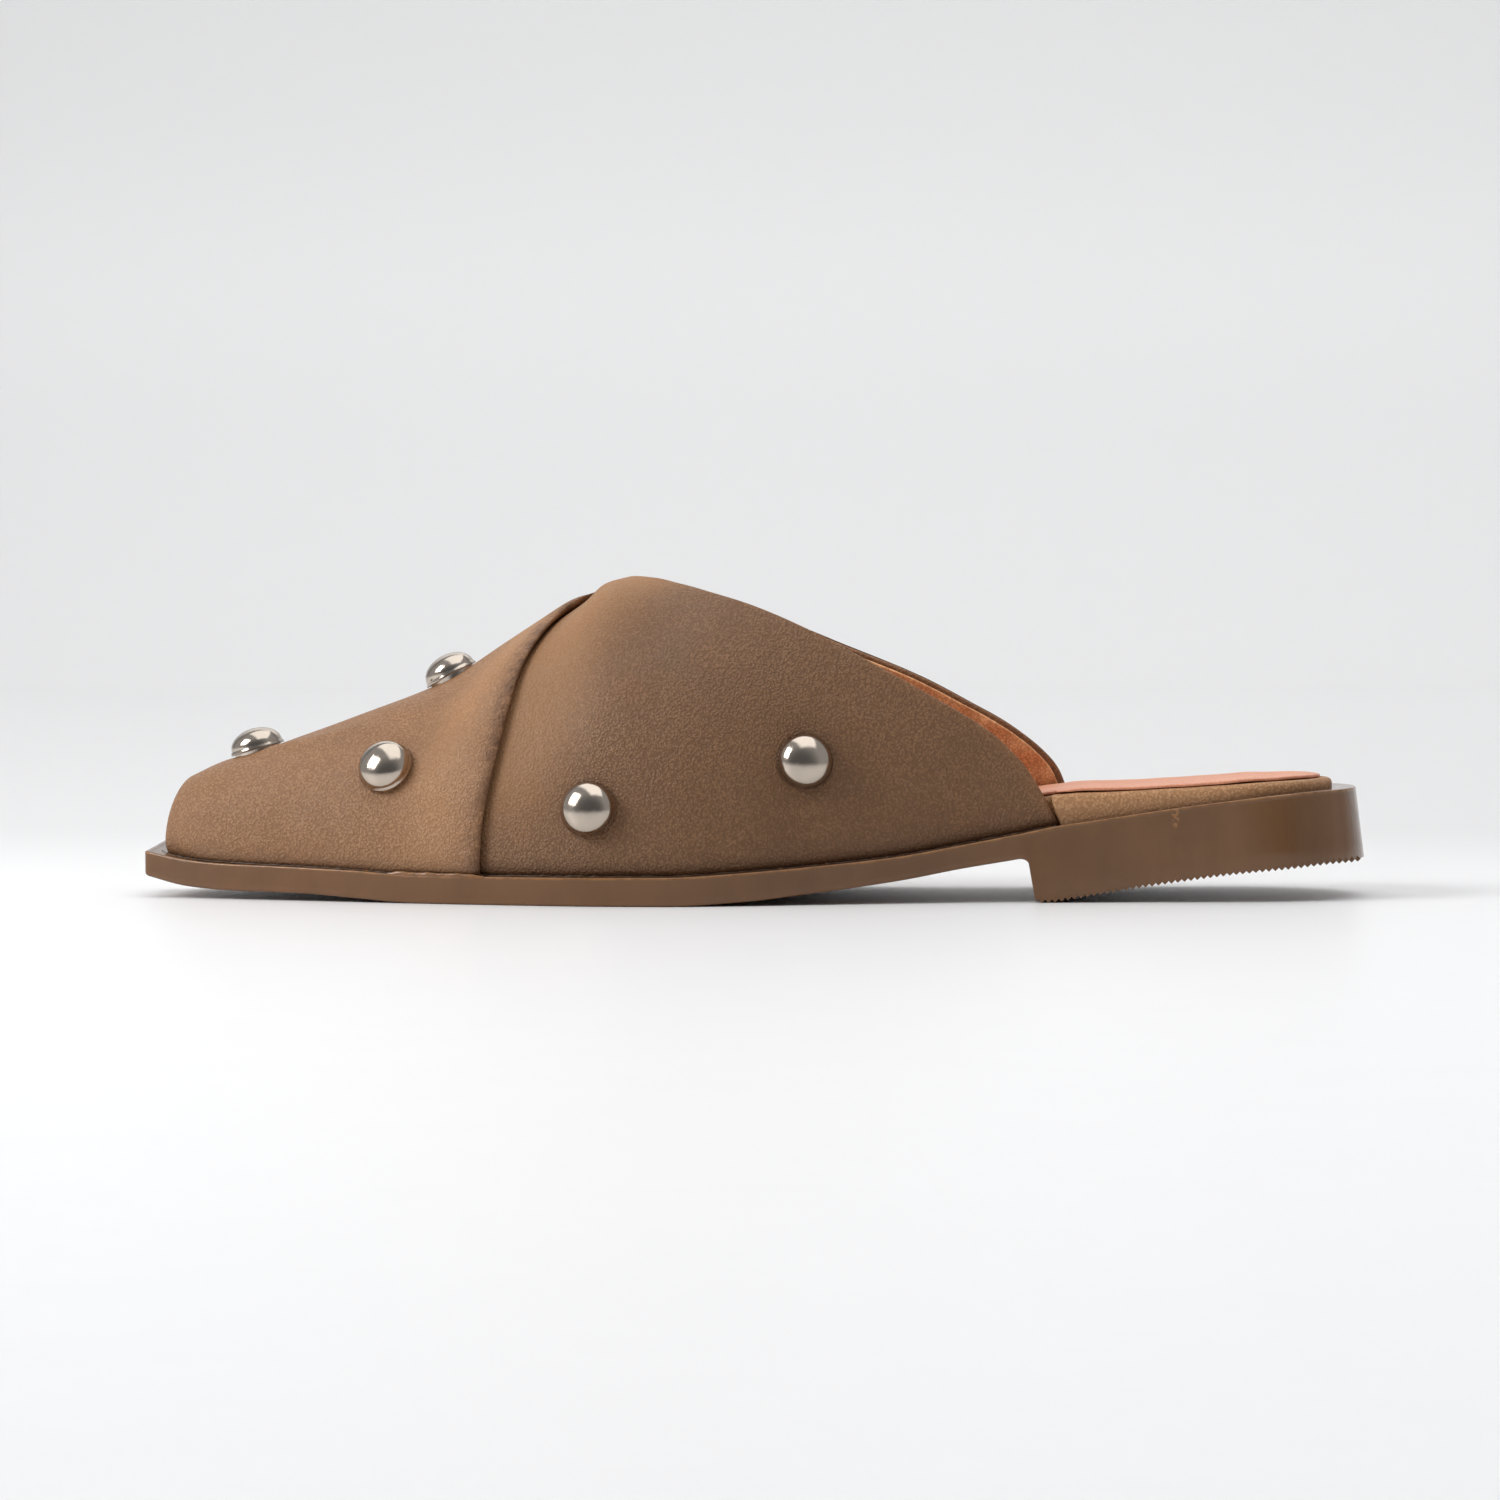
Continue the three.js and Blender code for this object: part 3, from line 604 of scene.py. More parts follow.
def mottle_group():
    """Cloudy change of colour, as on dyed leather: a darker cloud and a warm one."""
    tree, given, out = new_group(
        "mottle",
        [("Vector", "NodeSocketVector", None), ("Colour", "NodeSocketColor", (0.5, 0.5, 0.5, 1.0)),
         ("Dark", "NodeSocketColor", (0.2, 0.2, 0.2, 1.0)), ("Warm", "NodeSocketColor", (0.6, 0.3, 0.1, 1.0)),
         ("Amount", "NodeSocketFloat", 0.5)],
        [("Colour", "NodeSocketColor")])
    cloud = between(tree, noise(tree, given["Vector"], 34.0, 6.0, 0.62), 0.42, 0.66)
    cloudy = maths(tree, "MULTIPLY", cloud, given["Amount"])
    dark = blend_colours(tree, cloudy, given["Colour"], given["Dark"])
    aside = vector_maths(tree, "ADD", given["Vector"], (0.37, 0.21, 0.53))
    patch = between(tree, noise(tree, aside, 52.0, 5.0, 0.66), 0.52, 0.72)
    warm = blend_colours(tree, maths(tree, "MULTIPLY", patch, given["Amount"]), dark, given["Warm"])
    tree.links.new(warm, out["Colour"])
    return tree


def edge_tone_group():
    """Uneven colour along an edge, where noise lets it through: painted shade on the wrapped panel's fold, a
    painted highlight on the sole's top edge, and a paler or darker edge on the other pieces.
    """
    tree, given, out = new_group(
        "edge_tone_and_light",
        [("Vector", "NodeSocketVector", None), ("Edge", "NodeSocketFloat", 0.0),
         ("Colour", "NodeSocketColor", (0.5, 0.5, 0.5, 1.0)),
         ("Edge colour", "NodeSocketColor", (0.7, 0.6, 0.5, 1.0)), ("Amount", "NodeSocketFloat", 0.5)],
        [("Colour", "NodeSocketColor")])
    broken = between(tree, noise(tree, given["Vector"], 300.0, 5.0, 0.7), 0.36, 0.62, 0.25, 1.0)
    edge_marked = maths(tree, "MULTIPLY", given["Edge"], broken)
    amount = maths(tree, "MULTIPLY", edge_marked, given["Amount"], clamp=True)
    tree.links.new(blend_colours(tree, amount, given["Colour"], given["Edge colour"]), out["Colour"])
    return tree


def scuff_group():
    """One rubbed mark: an oval place on the surface, filled with streaks."""
    tree, given, out = new_group(
        "scuff",
        [("Vector", "NodeSocketVector", None), ("Centre", "NodeSocketVector", None),
         ("Size", "NodeSocketVector", (0.01, 0.05, 0.01))],
        [("Mask", "NodeSocketFloat")])
    local = vector_maths(tree, "DIVIDE", vector_maths(tree, "SUBTRACT", given["Vector"], given["Centre"]),
                         given["Size"])
    reach = put(tree, "ShaderNodeVectorMath", {0: local}, operation="LENGTH").outputs["Value"]
    oval = between(tree, reach, 0.35, 1.0, 1.0, 0.0)
    streak = between(tree, noise(tree, given["Vector"], 900.0, 4.0, 0.75), 0.42, 0.62)
    tree.links.new(maths(tree, "MULTIPLY", oval, streak), out["Mask"])
    return tree


def shared(name, build):
    """A node group that is built once."""
    return bpy.data.node_groups.get(name) or build()


def place(tree, group, links):
    """The outputs of a shader group that is placed in a material with its own values."""
    return put(tree, "ShaderNodeGroup", links, node_tree=group).outputs


def new_material(name):
    """An empty material with its shader, and the place on the piece as a vector."""
    material = bpy.data.materials.new(name)
    material.use_nodes = True
    tree = material.node_tree
    tree.nodes.clear()
    shader = tree.nodes.new("ShaderNodeBsdfPrincipled")
    target = tree.nodes.new("ShaderNodeOutputMaterial")
    tree.links.new(shader.outputs[0], target.inputs["Surface"])
    here = tree.nodes.new("ShaderNodeTexCoord").outputs["Object"]
    return material, tree, shader, here


def mask(tree, name):
    """Values that the mesh keeps under a name."""
    return put(tree, "ShaderNodeAttribute", attribute_name=name).outputs["Fac"]


def bump(tree, shader, height, depth):
    """Low relief of a depth in metres."""
    links = {"Strength": 1.0, "Distance": depth, "Height": height}
    tree.links.new(put(tree, "ShaderNodeBump", links).outputs[0], shader.inputs["Normal"])


def leather(name, colour, dark, warm, edge_tone, grain=1850.0, depth=0.00032, gloss=0.5, mottling=0.5, folds=0.0):
    """Dyed leather with grain, clouds of colour, a painted highlight along a line, a changed colour along its
    edges that paints shade on the wrapped panel's fold, and painted shade at its foot.

    dark, warm and worn are what the colour's red, green and blue are taken times."""
    dark, warm, edge_tone = (scaled(colour, *shares) for shares in (dark, warm, edge_tone))
    material, tree, shader, here = new_material(name)
    cloud = place(tree, shared("mottle", mottle_group),
                  {"Vector": here, "Colour": (*colour, 1), "Dark": (*dark, 1), "Warm": (*warm, 1),
                   "Amount": mottling})["Colour"]
    pebbles = place(tree, shared("fine_grain", fine_grain_group), {"Vector": here, "Scale": grain})
    toned = cloud
    for values, strength, tone in (
            (pebbles["Pits"], PIT_STRENGTH, dark),
            (pebbles["Tips"], TIP_STRENGTH, scaled(colour, *TIP_SHARES)),
            # painted highlight along the line that the mask gives
            (mask(tree, "painted_highlight"), HIGHLIGHT_STRENGTH, scaled(colour, *HIGHLIGHT_SHARES))):
        toned = blend_colours(tree, maths(tree, "MULTIPLY", values, strength), toned, tone)
    # Colour along the edges; the wrapped panel's darker turned edge is painted shade
    edge_marked = place(tree, shared("edge_tone_and_light", edge_tone_group),
                   {"Vector": here, "Edge": mask(tree, "edge"), "Colour": toned, "Edge colour": (*edge_tone, 1),
                    "Amount": EDGE_STRENGTH})
    # Painted shade at the foot, where the leather meets the sole
    foot_shade_tone = tuple(FOOT_SHADE_SHARE * value for value in dark)
    foot_shade = maths(tree, "MULTIPLY", mask(tree, "foot"), FOOT_SHADE_STRENGTH)
    foot_shaded = blend_colours(tree, foot_shade, edge_marked["Colour"], foot_shade_tone)
    tree.links.new(foot_shaded, shader.inputs["Base Color"])
    sheen = noise(tree, here, 60.0, 4.0, 0.6)
    rough = maths(tree, "ADD", between(tree, sheen, 0.35, 0.7, gloss - 0.06, gloss + 0.08),
                  maths(tree, "MULTIPLY", pebbles["Pits"], 0.12))
    tree.links.new(rough, shader.inputs["Roughness"])
    height = pebbles["Height"]
    if folds:
        laid = put(tree, "ShaderNodeMapping", {"Vector": here, "Rotation": (0.0, 0.75, 0.0),
                                               "Scale": (1.0, 0.5, 0.14)}).outputs[0]
        height = maths(tree, "ADD", height, maths(tree, "MULTIPLY", noise(tree, laid, 520.0, 3.0), folds))
    bump(tree, shader, height, depth)
    return material


def sole_plastic(name, colours, scuffs):
    """Moulded brown sole: soft gloss, faint flow marks, a pale colour along the edge mask that paints a
    highlight on its top edge, and a few scuffs.
    """
    material, tree, shader, here = new_material(name)
    colour, dark, warm, pale = colours
    cloud = place(tree, shared("mottle", mottle_group),
                  {"Vector": here, "Colour": (*colour, 1), "Dark": (*dark, 1), "Warm": (*warm, 1),
                   "Amount": 0.35})["Colour"]
    drawn_out = vector_maths(tree, "MULTIPLY", here, (1.0, 1.0, 0.12))
    flow = between(tree, noise(tree, drawn_out, 140.0, 5.0, 0.6), 0.4, 0.7)
    streaked = blend_colours(tree, maths(tree, "MULTIPLY", flow, 0.22), cloud, dark)
    # Pale along the edge mask: a painted highlight on the sole's top edge; the torn sliver is pale all over
    edge_highlight = place(tree, shared("edge_tone_and_light", edge_tone_group),
                {"Vector": here, "Edge": mask(tree, "edge"), "Colour": streaked, "Edge colour": (*pale, 1),
                 "Amount": 0.6})
    marks = None
    for centre, size in scuffs:
        one = place(tree, shared("scuff", scuff_group), {"Vector": here, "Centre": centre, "Size": size})
        marks = one["Mask"] if marks is None else maths(tree, "MAXIMUM", marks, one["Mask"])
    marked = blend_colours(tree, maths(tree, "MULTIPLY", marks, 0.75), edge_highlight["Colour"], pale)
    tree.links.new(marked, shader.inputs["Base Color"])
    film = noise(tree, here, 90.0, 5.0, 0.65)
    rough = maths(tree, "ADD", between(tree, film, 0.3, 0.7, 0.12, 0.20), maths(tree, "MULTIPLY", marks, 0.3))
    tree.links.new(rough, shader.inputs["Roughness"])
    ripple = maths(tree, "ADD", noise(tree, drawn_out, 260.0, 4.0), maths(tree, "MULTIPLY", marks, -0.6))
    bump(tree, shader, ripple, 0.00008)
    return material


def polished_metal(name, colour):
    """Polished stud: bright metal with hair scratches and a faint film."""
    material, tree, shader, here = new_material(name)
    film = noise(tree, here, 260.0, 4.0, 0.6)
    tone = blend_colours(tree, between(tree, film, 0.35, 0.7, 0.0, 0.35), colour,
                         tuple(0.82 * value for value in colour))
    tree.links.new(tone, shader.inputs["Base Color"])
    tree.links.new(between(tree, film, 0.3, 0.7, 0.07, 0.15), shader.inputs["Roughness"])
    shader.inputs["Metallic"].default_value = 1.0
    scratch = noise(tree, vector_maths(tree, "MULTIPLY", here, (1.0, 1.0, 9.0)), 1400.0, 3.0)
    bump(tree, shader, scratch, 0.000012)
    return material


def cement_line(name, colour, pale):
    """Dried cement and dust in the seam: dark, with pale specks; its darkness also paints the shade in the
    joint between upper and sole.
    """
    material, tree, shader, here = new_material(name)
    specks = between(tree, noise(tree, here, 650.0, 4.0, 0.7), 0.56, 0.66)
    tree.links.new(blend_colours(tree, specks, colour, pale), shader.inputs["Base Color"])
    tree.links.new(between(tree, specks, 0.0, 1.0, 0.5, 0.8), shader.inputs["Roughness"])
    bump(tree, shader, specks, 0.00015)
    return material


def studio_paper(name, colour):
    """Matt paper of the floor and the backdrop, with painted shade that darkens it towards the back."""
    material, tree, shader, here = new_material(name)
    fibre = noise(tree, here, 40.0, 4.0)
    tone = blend_colours(tree, between(tree, fibre, 0.3, 0.7, 0.0, 0.10), colour,
                         tuple(0.93 * value for value in colour))
    # Painted shade: the paper is taken darker towards the back
    depth = put(tree, "ShaderNodeSeparateXYZ", {0: here}).outputs["Y"]
    tone = blend_colours(tree, between(tree, depth, 0.03, 0.30), tone,
                         tuple(PAPER_SHADE * value for value in colour))
    tree.links.new(tone, shader.inputs["Base Color"])
    shader.inputs["Roughness"].default_value = 0.36
    shader.inputs["Specular IOR Level"].default_value = 0.22
    return material


# Meshes

def grid_faces(rows, columns, start=0):
    """Four cornered faces between the points of a grid."""
    i = np.arange(rows - 1)[:, None] * columns
    j = np.arange(columns - 1)[None, :]
    a = (start + i + j).ravel()
    return np.stack([a, a + 1, a + 1 + columns, a + columns], axis=1)


def add_object(name, data):
    """An object in the scene, at the origin and unturned."""
    thing = bpy.data.objects.new(name, data)
    bpy.context.scene.collection.objects.link(thing)
    return thing


def close_up(mesh, merge, thin=None):
    """Merges points that meet, drops faces without area, turns the rest outwards and smooths them."""
    body = bmesh.new()
    body.from_mesh(mesh)
    bmesh.ops.remove_doubles(body, verts=body.verts, dist=merge)
    if thin:
        bmesh.ops.dissolve_degenerate(body, edges=body.edges, dist=thin)
    bmesh.ops.recalc_face_normals(body, faces=body.faces)
    body.to_mesh(mesh)
    body.free()
    mesh.shade_smooth()


def new_piece(name, points, faces, material, masks=None, sharp=180.0):
    """A mesh from points in the shoe's own millimetres, closed and facing outwards."""
    mesh = bpy.data.meshes.new(name)
    places = np.asarray(points, float).reshape(-1, 3) * MM + shift()
    mesh.from_pydata(places.tolist(), [], np.asarray(faces).tolist())
    for label, values in (masks or {}).items():
        layer = mesh.attributes.new(label, "FLOAT", "POINT")
        layer.data.foreach_set("value", np.asarray(values, np.float32).ravel())
    close_up(mesh, merge=2e-6, thin=1e-6)
    if sharp < 180:
        mesh.set_sharp_from_angle(angle=math.radians(sharp))
    mesh.materials.append(material)
    return add_object(name, mesh)


def belongs(piece, slot, *nodes):
    """Hangs the piece on the root body and hides the model's parts that it stands for; slot is not used."""
    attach(piece, "root")
    if nodes:
        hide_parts(*nodes)


def skin_shell(end_at, outer, inner, edge_reach, rows=130, columns=181, lift=0.0, extra=None, highlight_line=None):
    """Leather between two distances from the form, with its rear edge turned round.

    Returns its points, faces and masks."""
    around = np.linspace(-1, 1, columns)
    end = end_at(around) - edge_reach
    cap = 7
    t = np.linspace(0, 1, rows + 1)[1:]
    ways = np.concatenate((np.zeros(cap), 0.62 * t ** 2 + 0.38 * t ** 1.15))
    sizes = np.concatenate((np.linspace(0, 1, cap), np.ones(rows)))
    sheet_x = UPPER_TOE_LEDGE + ways[:, None] * (end - UPPER_TOE_LEDGE)[None, :]
    turn = np.linspace(0, math.pi, 13)[1:-1]
    edge_x = end[None, :] + edge_reach * np.sin(turn)[:, None]
    middle, half = (outer + inner) / 2, (outer - inner) / 2
    x = np.concatenate((sheet_x, edge_x, sheet_x[::-1]))
    size = np.concatenate((sizes, np.ones(len(turn)), sizes[::-1]))[:, None]
    distance = np.concatenate((np.full(len(ways), outer), middle + half * np.cos(turn),
                               np.full(len(ways), inner)))[:, None]
    share = np.broadcast_to(around[None, :], x.shape)
    form = upper_point(x, share, size)
    height = form[..., 2] - sole_top(x) - SEAT_GAP
    tuck = -FOOT_TUCK * np.exp(-height / FOOT_TUCK_HEIGHT) * np.where(size == 1, 1.0, smooth(size * 1.5))
    to_edge = end_at(around)[None, :] - x
    outward = np.clip((distance - inner) / (outer - inner), 0, 1)
    raised = (lift * (0.2 + 0.8 * outward) * smooth(1 - to_edge / WRAP_LIFT_LENGTH)
              * (1 - smooth((share + 0.04) / 0.14)))
    if lift:
        at_toe = 1 - smooth((x - UPPER_TOE_LEDGE) / TOE_THINNING_LENGTH)
        at_throat = smooth((share + 0.02) / 0.10) * smooth(1 - to_edge / THROAT_THINNING_LENGTH)
        raised = raised - outward * (WRAP_TOE_THINNING * at_toe + WRAP_THROAT_THINNING * at_throat)
    total = distance + raised + tuck + relief(x, share) * np.where(size == 1, 1.0, 0.0)
    if extra is not None:
        total = total + extra(x, share, distance)
    points = skin_point(x, share, size, total)
    rings = x.shape[0]
    faces = [grid_faces(rings, columns)]
    for column in (0, columns - 1):
        i = np.arange(rings // 2 - 1 + rings % 2)
        a, b = i * columns + column, (i + 1) * columns + column
        c, d = (rings - 2 - i) * columns + column, (rings - 1 - i) * columns + column
        faces.append(np.stack([a, b, c, d], axis=1))
    # Edge mask: painted shade on the wrapped panel's turned edge, a paler edge on the quarter's collar and
    # the lining.
    share_in = np.maximum(0, to_edge) / edge_reach
    edge = np.exp(-share_in ** 2) if lift else np.exp(-1.4 * share_in)
    # Painted shade at the foot, where the leather meets the sole.
    foot = np.exp(-np.maximum(0, height) / FOOT_SHADE_HEIGHT)
    masks = {"edge": edge, "foot": foot}
    # Painted highlight along the given line.
    if highlight_line:
        masks["painted_highlight"] = painted_highlight(x, share, *highlight_line)
    return points, np.concatenate(faces), masks


def plan_normals(points):
    """Outward directions in plan of a line of points that runs from the toe to the heel."""
    way = np.gradient(points, axis=0)
    way /= np.maximum(1e-9, np.linalg.norm(way, axis=1, keepdims=True))
    side = np.sign(points[len(points) // 2, 1])
    return np.stack([-way[:, 1], way[:, 0]], axis=1) * side


def board(outer, inner, profiles, across=24):
    """Closed solid between an outer and an inner side, each a grid of rings by heights.

    The rings run from the toe to the heel, and the heights from the under edge to the top."""
    rings, heights = outer.shape[:2]
    share = np.linspace(0, 1, across + 1)[1:-1]
    top = outer[:, -1:, :] + (inner[:, -1:, :] - outer[:, -1:, :]) * share[None, :, None]
    under = inner[:, :1, :] + (outer[:, :1, :] - inner[:, :1, :]) * share[None, :, None]
    loops = np.concatenate((outer, top, inner[:, ::-1, :], under, outer[:, :1, :]), axis=1)
    columns = loops.shape[1]
    points = [loops.reshape(-1, 3)]
    faces = [grid_faces(rings, columns)]
    start = rings * columns
    masks = {}
    for label, column in profiles.items():
        line = np.concatenate((column, np.full(across - 1, column[-1]), column[::-1],
                               np.full(across - 1, column[0]), column[:1]))
        masks[label] = [np.tile(line, rings)]
    full = np.linspace(0, 1, across + 1)
    for end in (0, rings - 1):
        face = outer[end][:, None, :] + (inner[end] - outer[end])[:, None, :] * full[None, :, None]
        points.append(face.reshape(-1, 3))
        faces.append(grid_faces(heights, across + 1, start))
        start += heights * (across + 1)
        for label, column in profiles.items():
            masks[label].append(np.repeat(column, across + 1))
    return np.concatenate(points), np.concatenate(faces), {k: np.concatenate(v) for k, v in masks.items()}


def wobble(at, seed, length):
    """Slow uneven wave along a line, the same each time."""
    rng = np.random.default_rng(seed)
    total = np.zeros(np.shape(at))
    for octave in range(1, 5):
        total += np.sin(at * (2 * math.pi * octave / length) * rng.uniform(0.8, 1.2)
                        + rng.uniform(0, 6.28)) / octave
    return total / 1.6


def outsole_mesh(rib_depth):
    """Rings of the sole from the toe to the heel."""
    front_end = BREAST_AT - BREAST_FILLET
    corner = SOLE_TOE_CORNER * (1 - np.cos(np.linspace(0, math.pi / 2, 9)))
    fore = np.linspace(SOLE_TOE_CORNER, front_end, 150)[1:]
    fillet = front_end + BREAST_FILLET * np.sin(np.linspace(0, math.pi / 2, 11))[1:]
    start = BREAST_AT + BREAST_SLOPE
    heel = start + (SOLE_BACK_AT - start) * np.sin(np.linspace(0, 0.9985, 110) * math.pi / 2)
    x = np.concatenate((corner, fore, fillet, heel))
    in_heel = x >= start
    into = np.clip(x - front_end, 0, BREAST_FILLET)
    drop = np.where(in_heel, 0, BREAST_FILLET - np.sqrt(BREAST_FILLET ** 2 - into ** 2))
    under = np.where(in_heel, heel_under(x) + rib_depth, sole_under(x) - drop)
    top = sole_top(x)
    lean = np.where(in_heel, HEEL_LEAN, HEEL_LEAN * into / BREAST_FILLET)
    bend = np.radians([0, 22, 45, 68, 90])
    low = [(1 - math.sin(a), 1 - math.cos(a)) for a in bend]
    to_heel = smooth((x - front_end + 6) / 6)
    low_round = np.where(in_heel, HEEL_EDGE_ROUND,
                         SOLE_EDGE_ROUND + (HEEL_EDGE_ROUND - SOLE_EDGE_ROUND) * to_heel)
    high = [(0.0, 1.10), (0.0, 0.70), (-0.03, 0.52), (-0.03, 0.36), (0.02, 0.20), (0.12, 0.07),
            (0.28, 0.0), (0.60, 0.0), (0.95, 0.0)]
    steps = [0.25, 0.5, 0.75]
    sides = []
    for side, sign in (("outer", -1), ("inner", 1)):
        t = np.clip(x / SOLE_TOE_CORNER, 0, 1)
        pinch = SOLE_TOE_CORNER * (1 - np.sqrt(1 - (1 - t) ** 2))
        line = np.stack([x, sign * (half_width(x, side) - pinch)], axis=1)
        away = plan_normals(line)
        away[0] = (-1, 0)
        away[-1] = (1, 0)
        low_z = [under + low_round * z for _, z in low]
        high_z = [top - z for _, z in high]
        heights = low_z + [low_z[-1] + (high_z[0] - low_z[-1]) * s for s in steps] + high_z
        insets = [low_round * r for r, _ in low] + [0.0] * len(steps) + [r for r, _ in high]
        columns = []
        for r, z in zip(insets, heights):
            y = line[:, 1] - away[:, 1] * r
            twist = TOE_TWIST * (y + TOE_WIDTH / 2) * (1 - smooth(x / 34))
            columns.append(np.stack([line[:, 0] - away[:, 0] * r + lean * (top - z), y, z + twist], axis=1))
        sides.append(np.stack(columns, axis=1))
    # Edge mask of the sole: a painted highlight along its top edge, fainter on its lower rounding
    edge = np.array([0.15] * len(low) + [0.0] * len(steps)
                    + [0.0, 0.0, 0.3, 1.0, 1.0, 0.8, 0.4, 0.1, 0.0])
    return board(sides[0], sides[1], {"edge": edge})


def board_sides(inset, back_ledge, wave=0.0, seed=0):
    """Outer and inner edge in plan of the footbed or the sock, with the step at the collar."""
    inside = -(WALL_THICKNESS + FOOTBED_CLEARANCE + inset)
    t = np.linspace(0, 1, 70)
    front = UPPER_TOE_LEDGE + (COLLAR_END_AT - UPPER_TOE_LEDGE) * (0.55 * t ** 2 + 0.45 * t)
    start = COLLAR_END_AT + FOOTBED_END_GAP + inset
    back = SOLE_BACK_AT - back_ledge
    size = np.where(front <= UPPER_TOE_LEDGE, 0.7, 1.0)
    sides = []
    for side, sign in (("outer", -1.0), ("inner", 1.0)):
        begin = start + (INNER_COLLAR_REACH if sign > 0 else 0.0)
        rear = begin + (back - begin) * np.sin(np.linspace(0, 0.998, 70) * math.pi / 2)
        hidden = skin_point(front, np.full(front.shape, sign), size, np.full(front.shape, inside))[:, :2]
        wide = half_width(np.minimum(rear, SOLE_BACK_AT - HEEL_ROUND), side) - FOOTBED_LEDGE - inset
        rounding = HEEL_ROUND - back_ledge / 2
        share = np.clip((rear - back + rounding) / rounding, 0, 1)
        open_y = sign * wide * np.sqrt(1 - share ** HEEL_ROUND_POWER)
        shown = np.stack([rear, open_y], axis=1)
        away = plan_normals(shown)
        away[0] = (0, sign)
        away[-1] = (1, 0)
        shown = shown + away * (wave * wobble(rear + 40 * sign, seed, 23.0))[:, None]
        straight = np.tile((0.0, sign), (len(front), 1))
        sides.append((np.concatenate((hidden, shown)), np.concatenate((straight, away))))
    return sides, len(front)


def board_columns(sides, hidden, under, top, rounding, bottom_round=0.0):
    """Heights of a board's sides: upright, then rounded over at the top."""
    bend = np.radians([0, 18, 36, 54, 72, 90])
    lower = [(0.0, 0.0)] if bottom_round == 0 else [
        (bottom_round * (1 - math.sin(a)), bottom_round * (1 - math.cos(a)))
        for a in np.radians([0, 45, 90])]
    result = []
    for line, away in sides:
        x = line[:, 0]
        at_step = (np.arange(len(x)) >= hidden) & (x < x[hidden] + FOOTBED_END_LEAN - FOOTBED_END_GAP)
        leaning = np.where(at_step, FOOTBED_END_LEAN, 0.0)
        low, high = under(x), top(x - leaning)
        columns = []
        for r, lift in lower:
            columns.append(np.stack([x - away[:, 0] * r, line[:, 1] - away[:, 1] * r, low + lift], axis=1))
        for a in bend:
            r = rounding * (1 - math.cos(a))
            z = high - rounding * (1 - math.sin(a))
            pull = np.minimum(r, np.abs(line[:, 1]) * 0.95)
            columns.append(np.stack([x - leaning - away[:, 0] * r,
                                     line[:, 1] - away[:, 1] * pull, z], axis=1))
        grid = np.stack(columns, axis=1)
        tilt = SEAT_TILT * (grid[..., 1] + HEEL_WIDTH / 2) * smooth((grid[..., 0] - COLLAR_END_AT + 12) / 18)
        floor = sole_top(grid[..., 0])
        grid[..., 2] -= tilt * np.clip((grid[..., 2] - floor) / (footbed_top(grid[..., 0]) - floor), 0, 1)
        result.append(grid)
    return result


def lathe(name, profile, sides, material):
    """A turned piece on its own origin, from radius and height pairs in millimetres."""
    turn = np.linspace(0, 2 * math.pi, sides, endpoint=False)
    radius, height = np.array(profile, float).T
    points = np.stack([radius[:, None] * np.cos(turn), radius[:, None] * np.sin(turn),
                       np.broadcast_to(height[:, None], (len(height), sides))], axis=-1)
    i = np.arange(len(profile) - 1)[:, None] * sides
    j = np.arange(sides)[None, :]
    k = (j + 1) % sides
    faces = np.stack([i + j, i + k, i + k + sides, i + j + sides], axis=-1).reshape(-1, 4)
    mesh = bpy.data.meshes.new(name)
    mesh.from_pydata((points.reshape(-1, 3) * MM).tolist(), [], faces.tolist())
    close_up(mesh, merge=1e-6)
    mesh.set_sharp_from_angle(angle=math.radians(40))
    mesh.materials.append(material)
    return add_object(name, mesh)


# Geometry Nodes

def new_tree(name, inputs):
    """An empty geometry tree with a geometry input and more named inputs."""
    tree = bpy.data.node_groups.new(name, "GeometryNodeTree")
    tree.interface.new_socket("Geometry", in_out="INPUT", socket_type="NodeSocketGeometry")
    for label, kind in inputs:
        tree.interface.new_socket(label, in_out="INPUT", socket_type=kind)
    tree.interface.new_socket("Geometry", in_out="OUTPUT", socket_type="NodeSocketGeometry")
    return tree, tree.nodes.new("NodeGroupInput").outputs, tree.nodes.new("NodeGroupOutput").inputs


def end_tree(tree, geometry, material, out):
    real = put(tree, "GeometryNodeRealizeInstances", {"Geometry": geometry})
    coated = put(tree, "GeometryNodeSetMaterial", {"Geometry": real.outputs[0], "Material": material})
    tree.links.new(coated.outputs[0], out["Geometry"])


def grow(name, points, edges, vectors, tree, values, material, smooth_angle=40.0):
    """Runs a geometry tree on loose points or a line, and keeps its result as a plain mesh."""
    mesh = bpy.data.meshes.new(name)
    mesh.from_pydata((np.asarray(points) * MM + shift()).tolist(), edges, [])
    for label, rows in vectors.items():
        layer = mesh.attributes.new(label, "FLOAT_VECTOR", "POINT")
        layer.data.foreach_set("vector", np.asarray(rows, np.float32).ravel())
    piece = add_object(name, mesh)
    modifier = piece.modifiers.new(name, "NODES")
    modifier.node_group = tree
    sockets = {item.name: item.identifier for item in tree.interface.items_tree if item.in_out == "INPUT"}
    for label, value in values.items():
        modifier[sockets[label]] = value
    seen = piece.evaluated_get(bpy.context.evaluated_depsgraph_get())
    result = bpy.data.meshes.new_from_object(seen)
    result.name = name
    piece.modifiers.clear()
    piece.data = result
    bpy.data.meshes.remove(mesh)
    if not result.materials:
        result.materials.append(material)
    result.shade_smooth()
    result.set_sharp_from_angle(angle=math.radians(smooth_angle))
    return piece


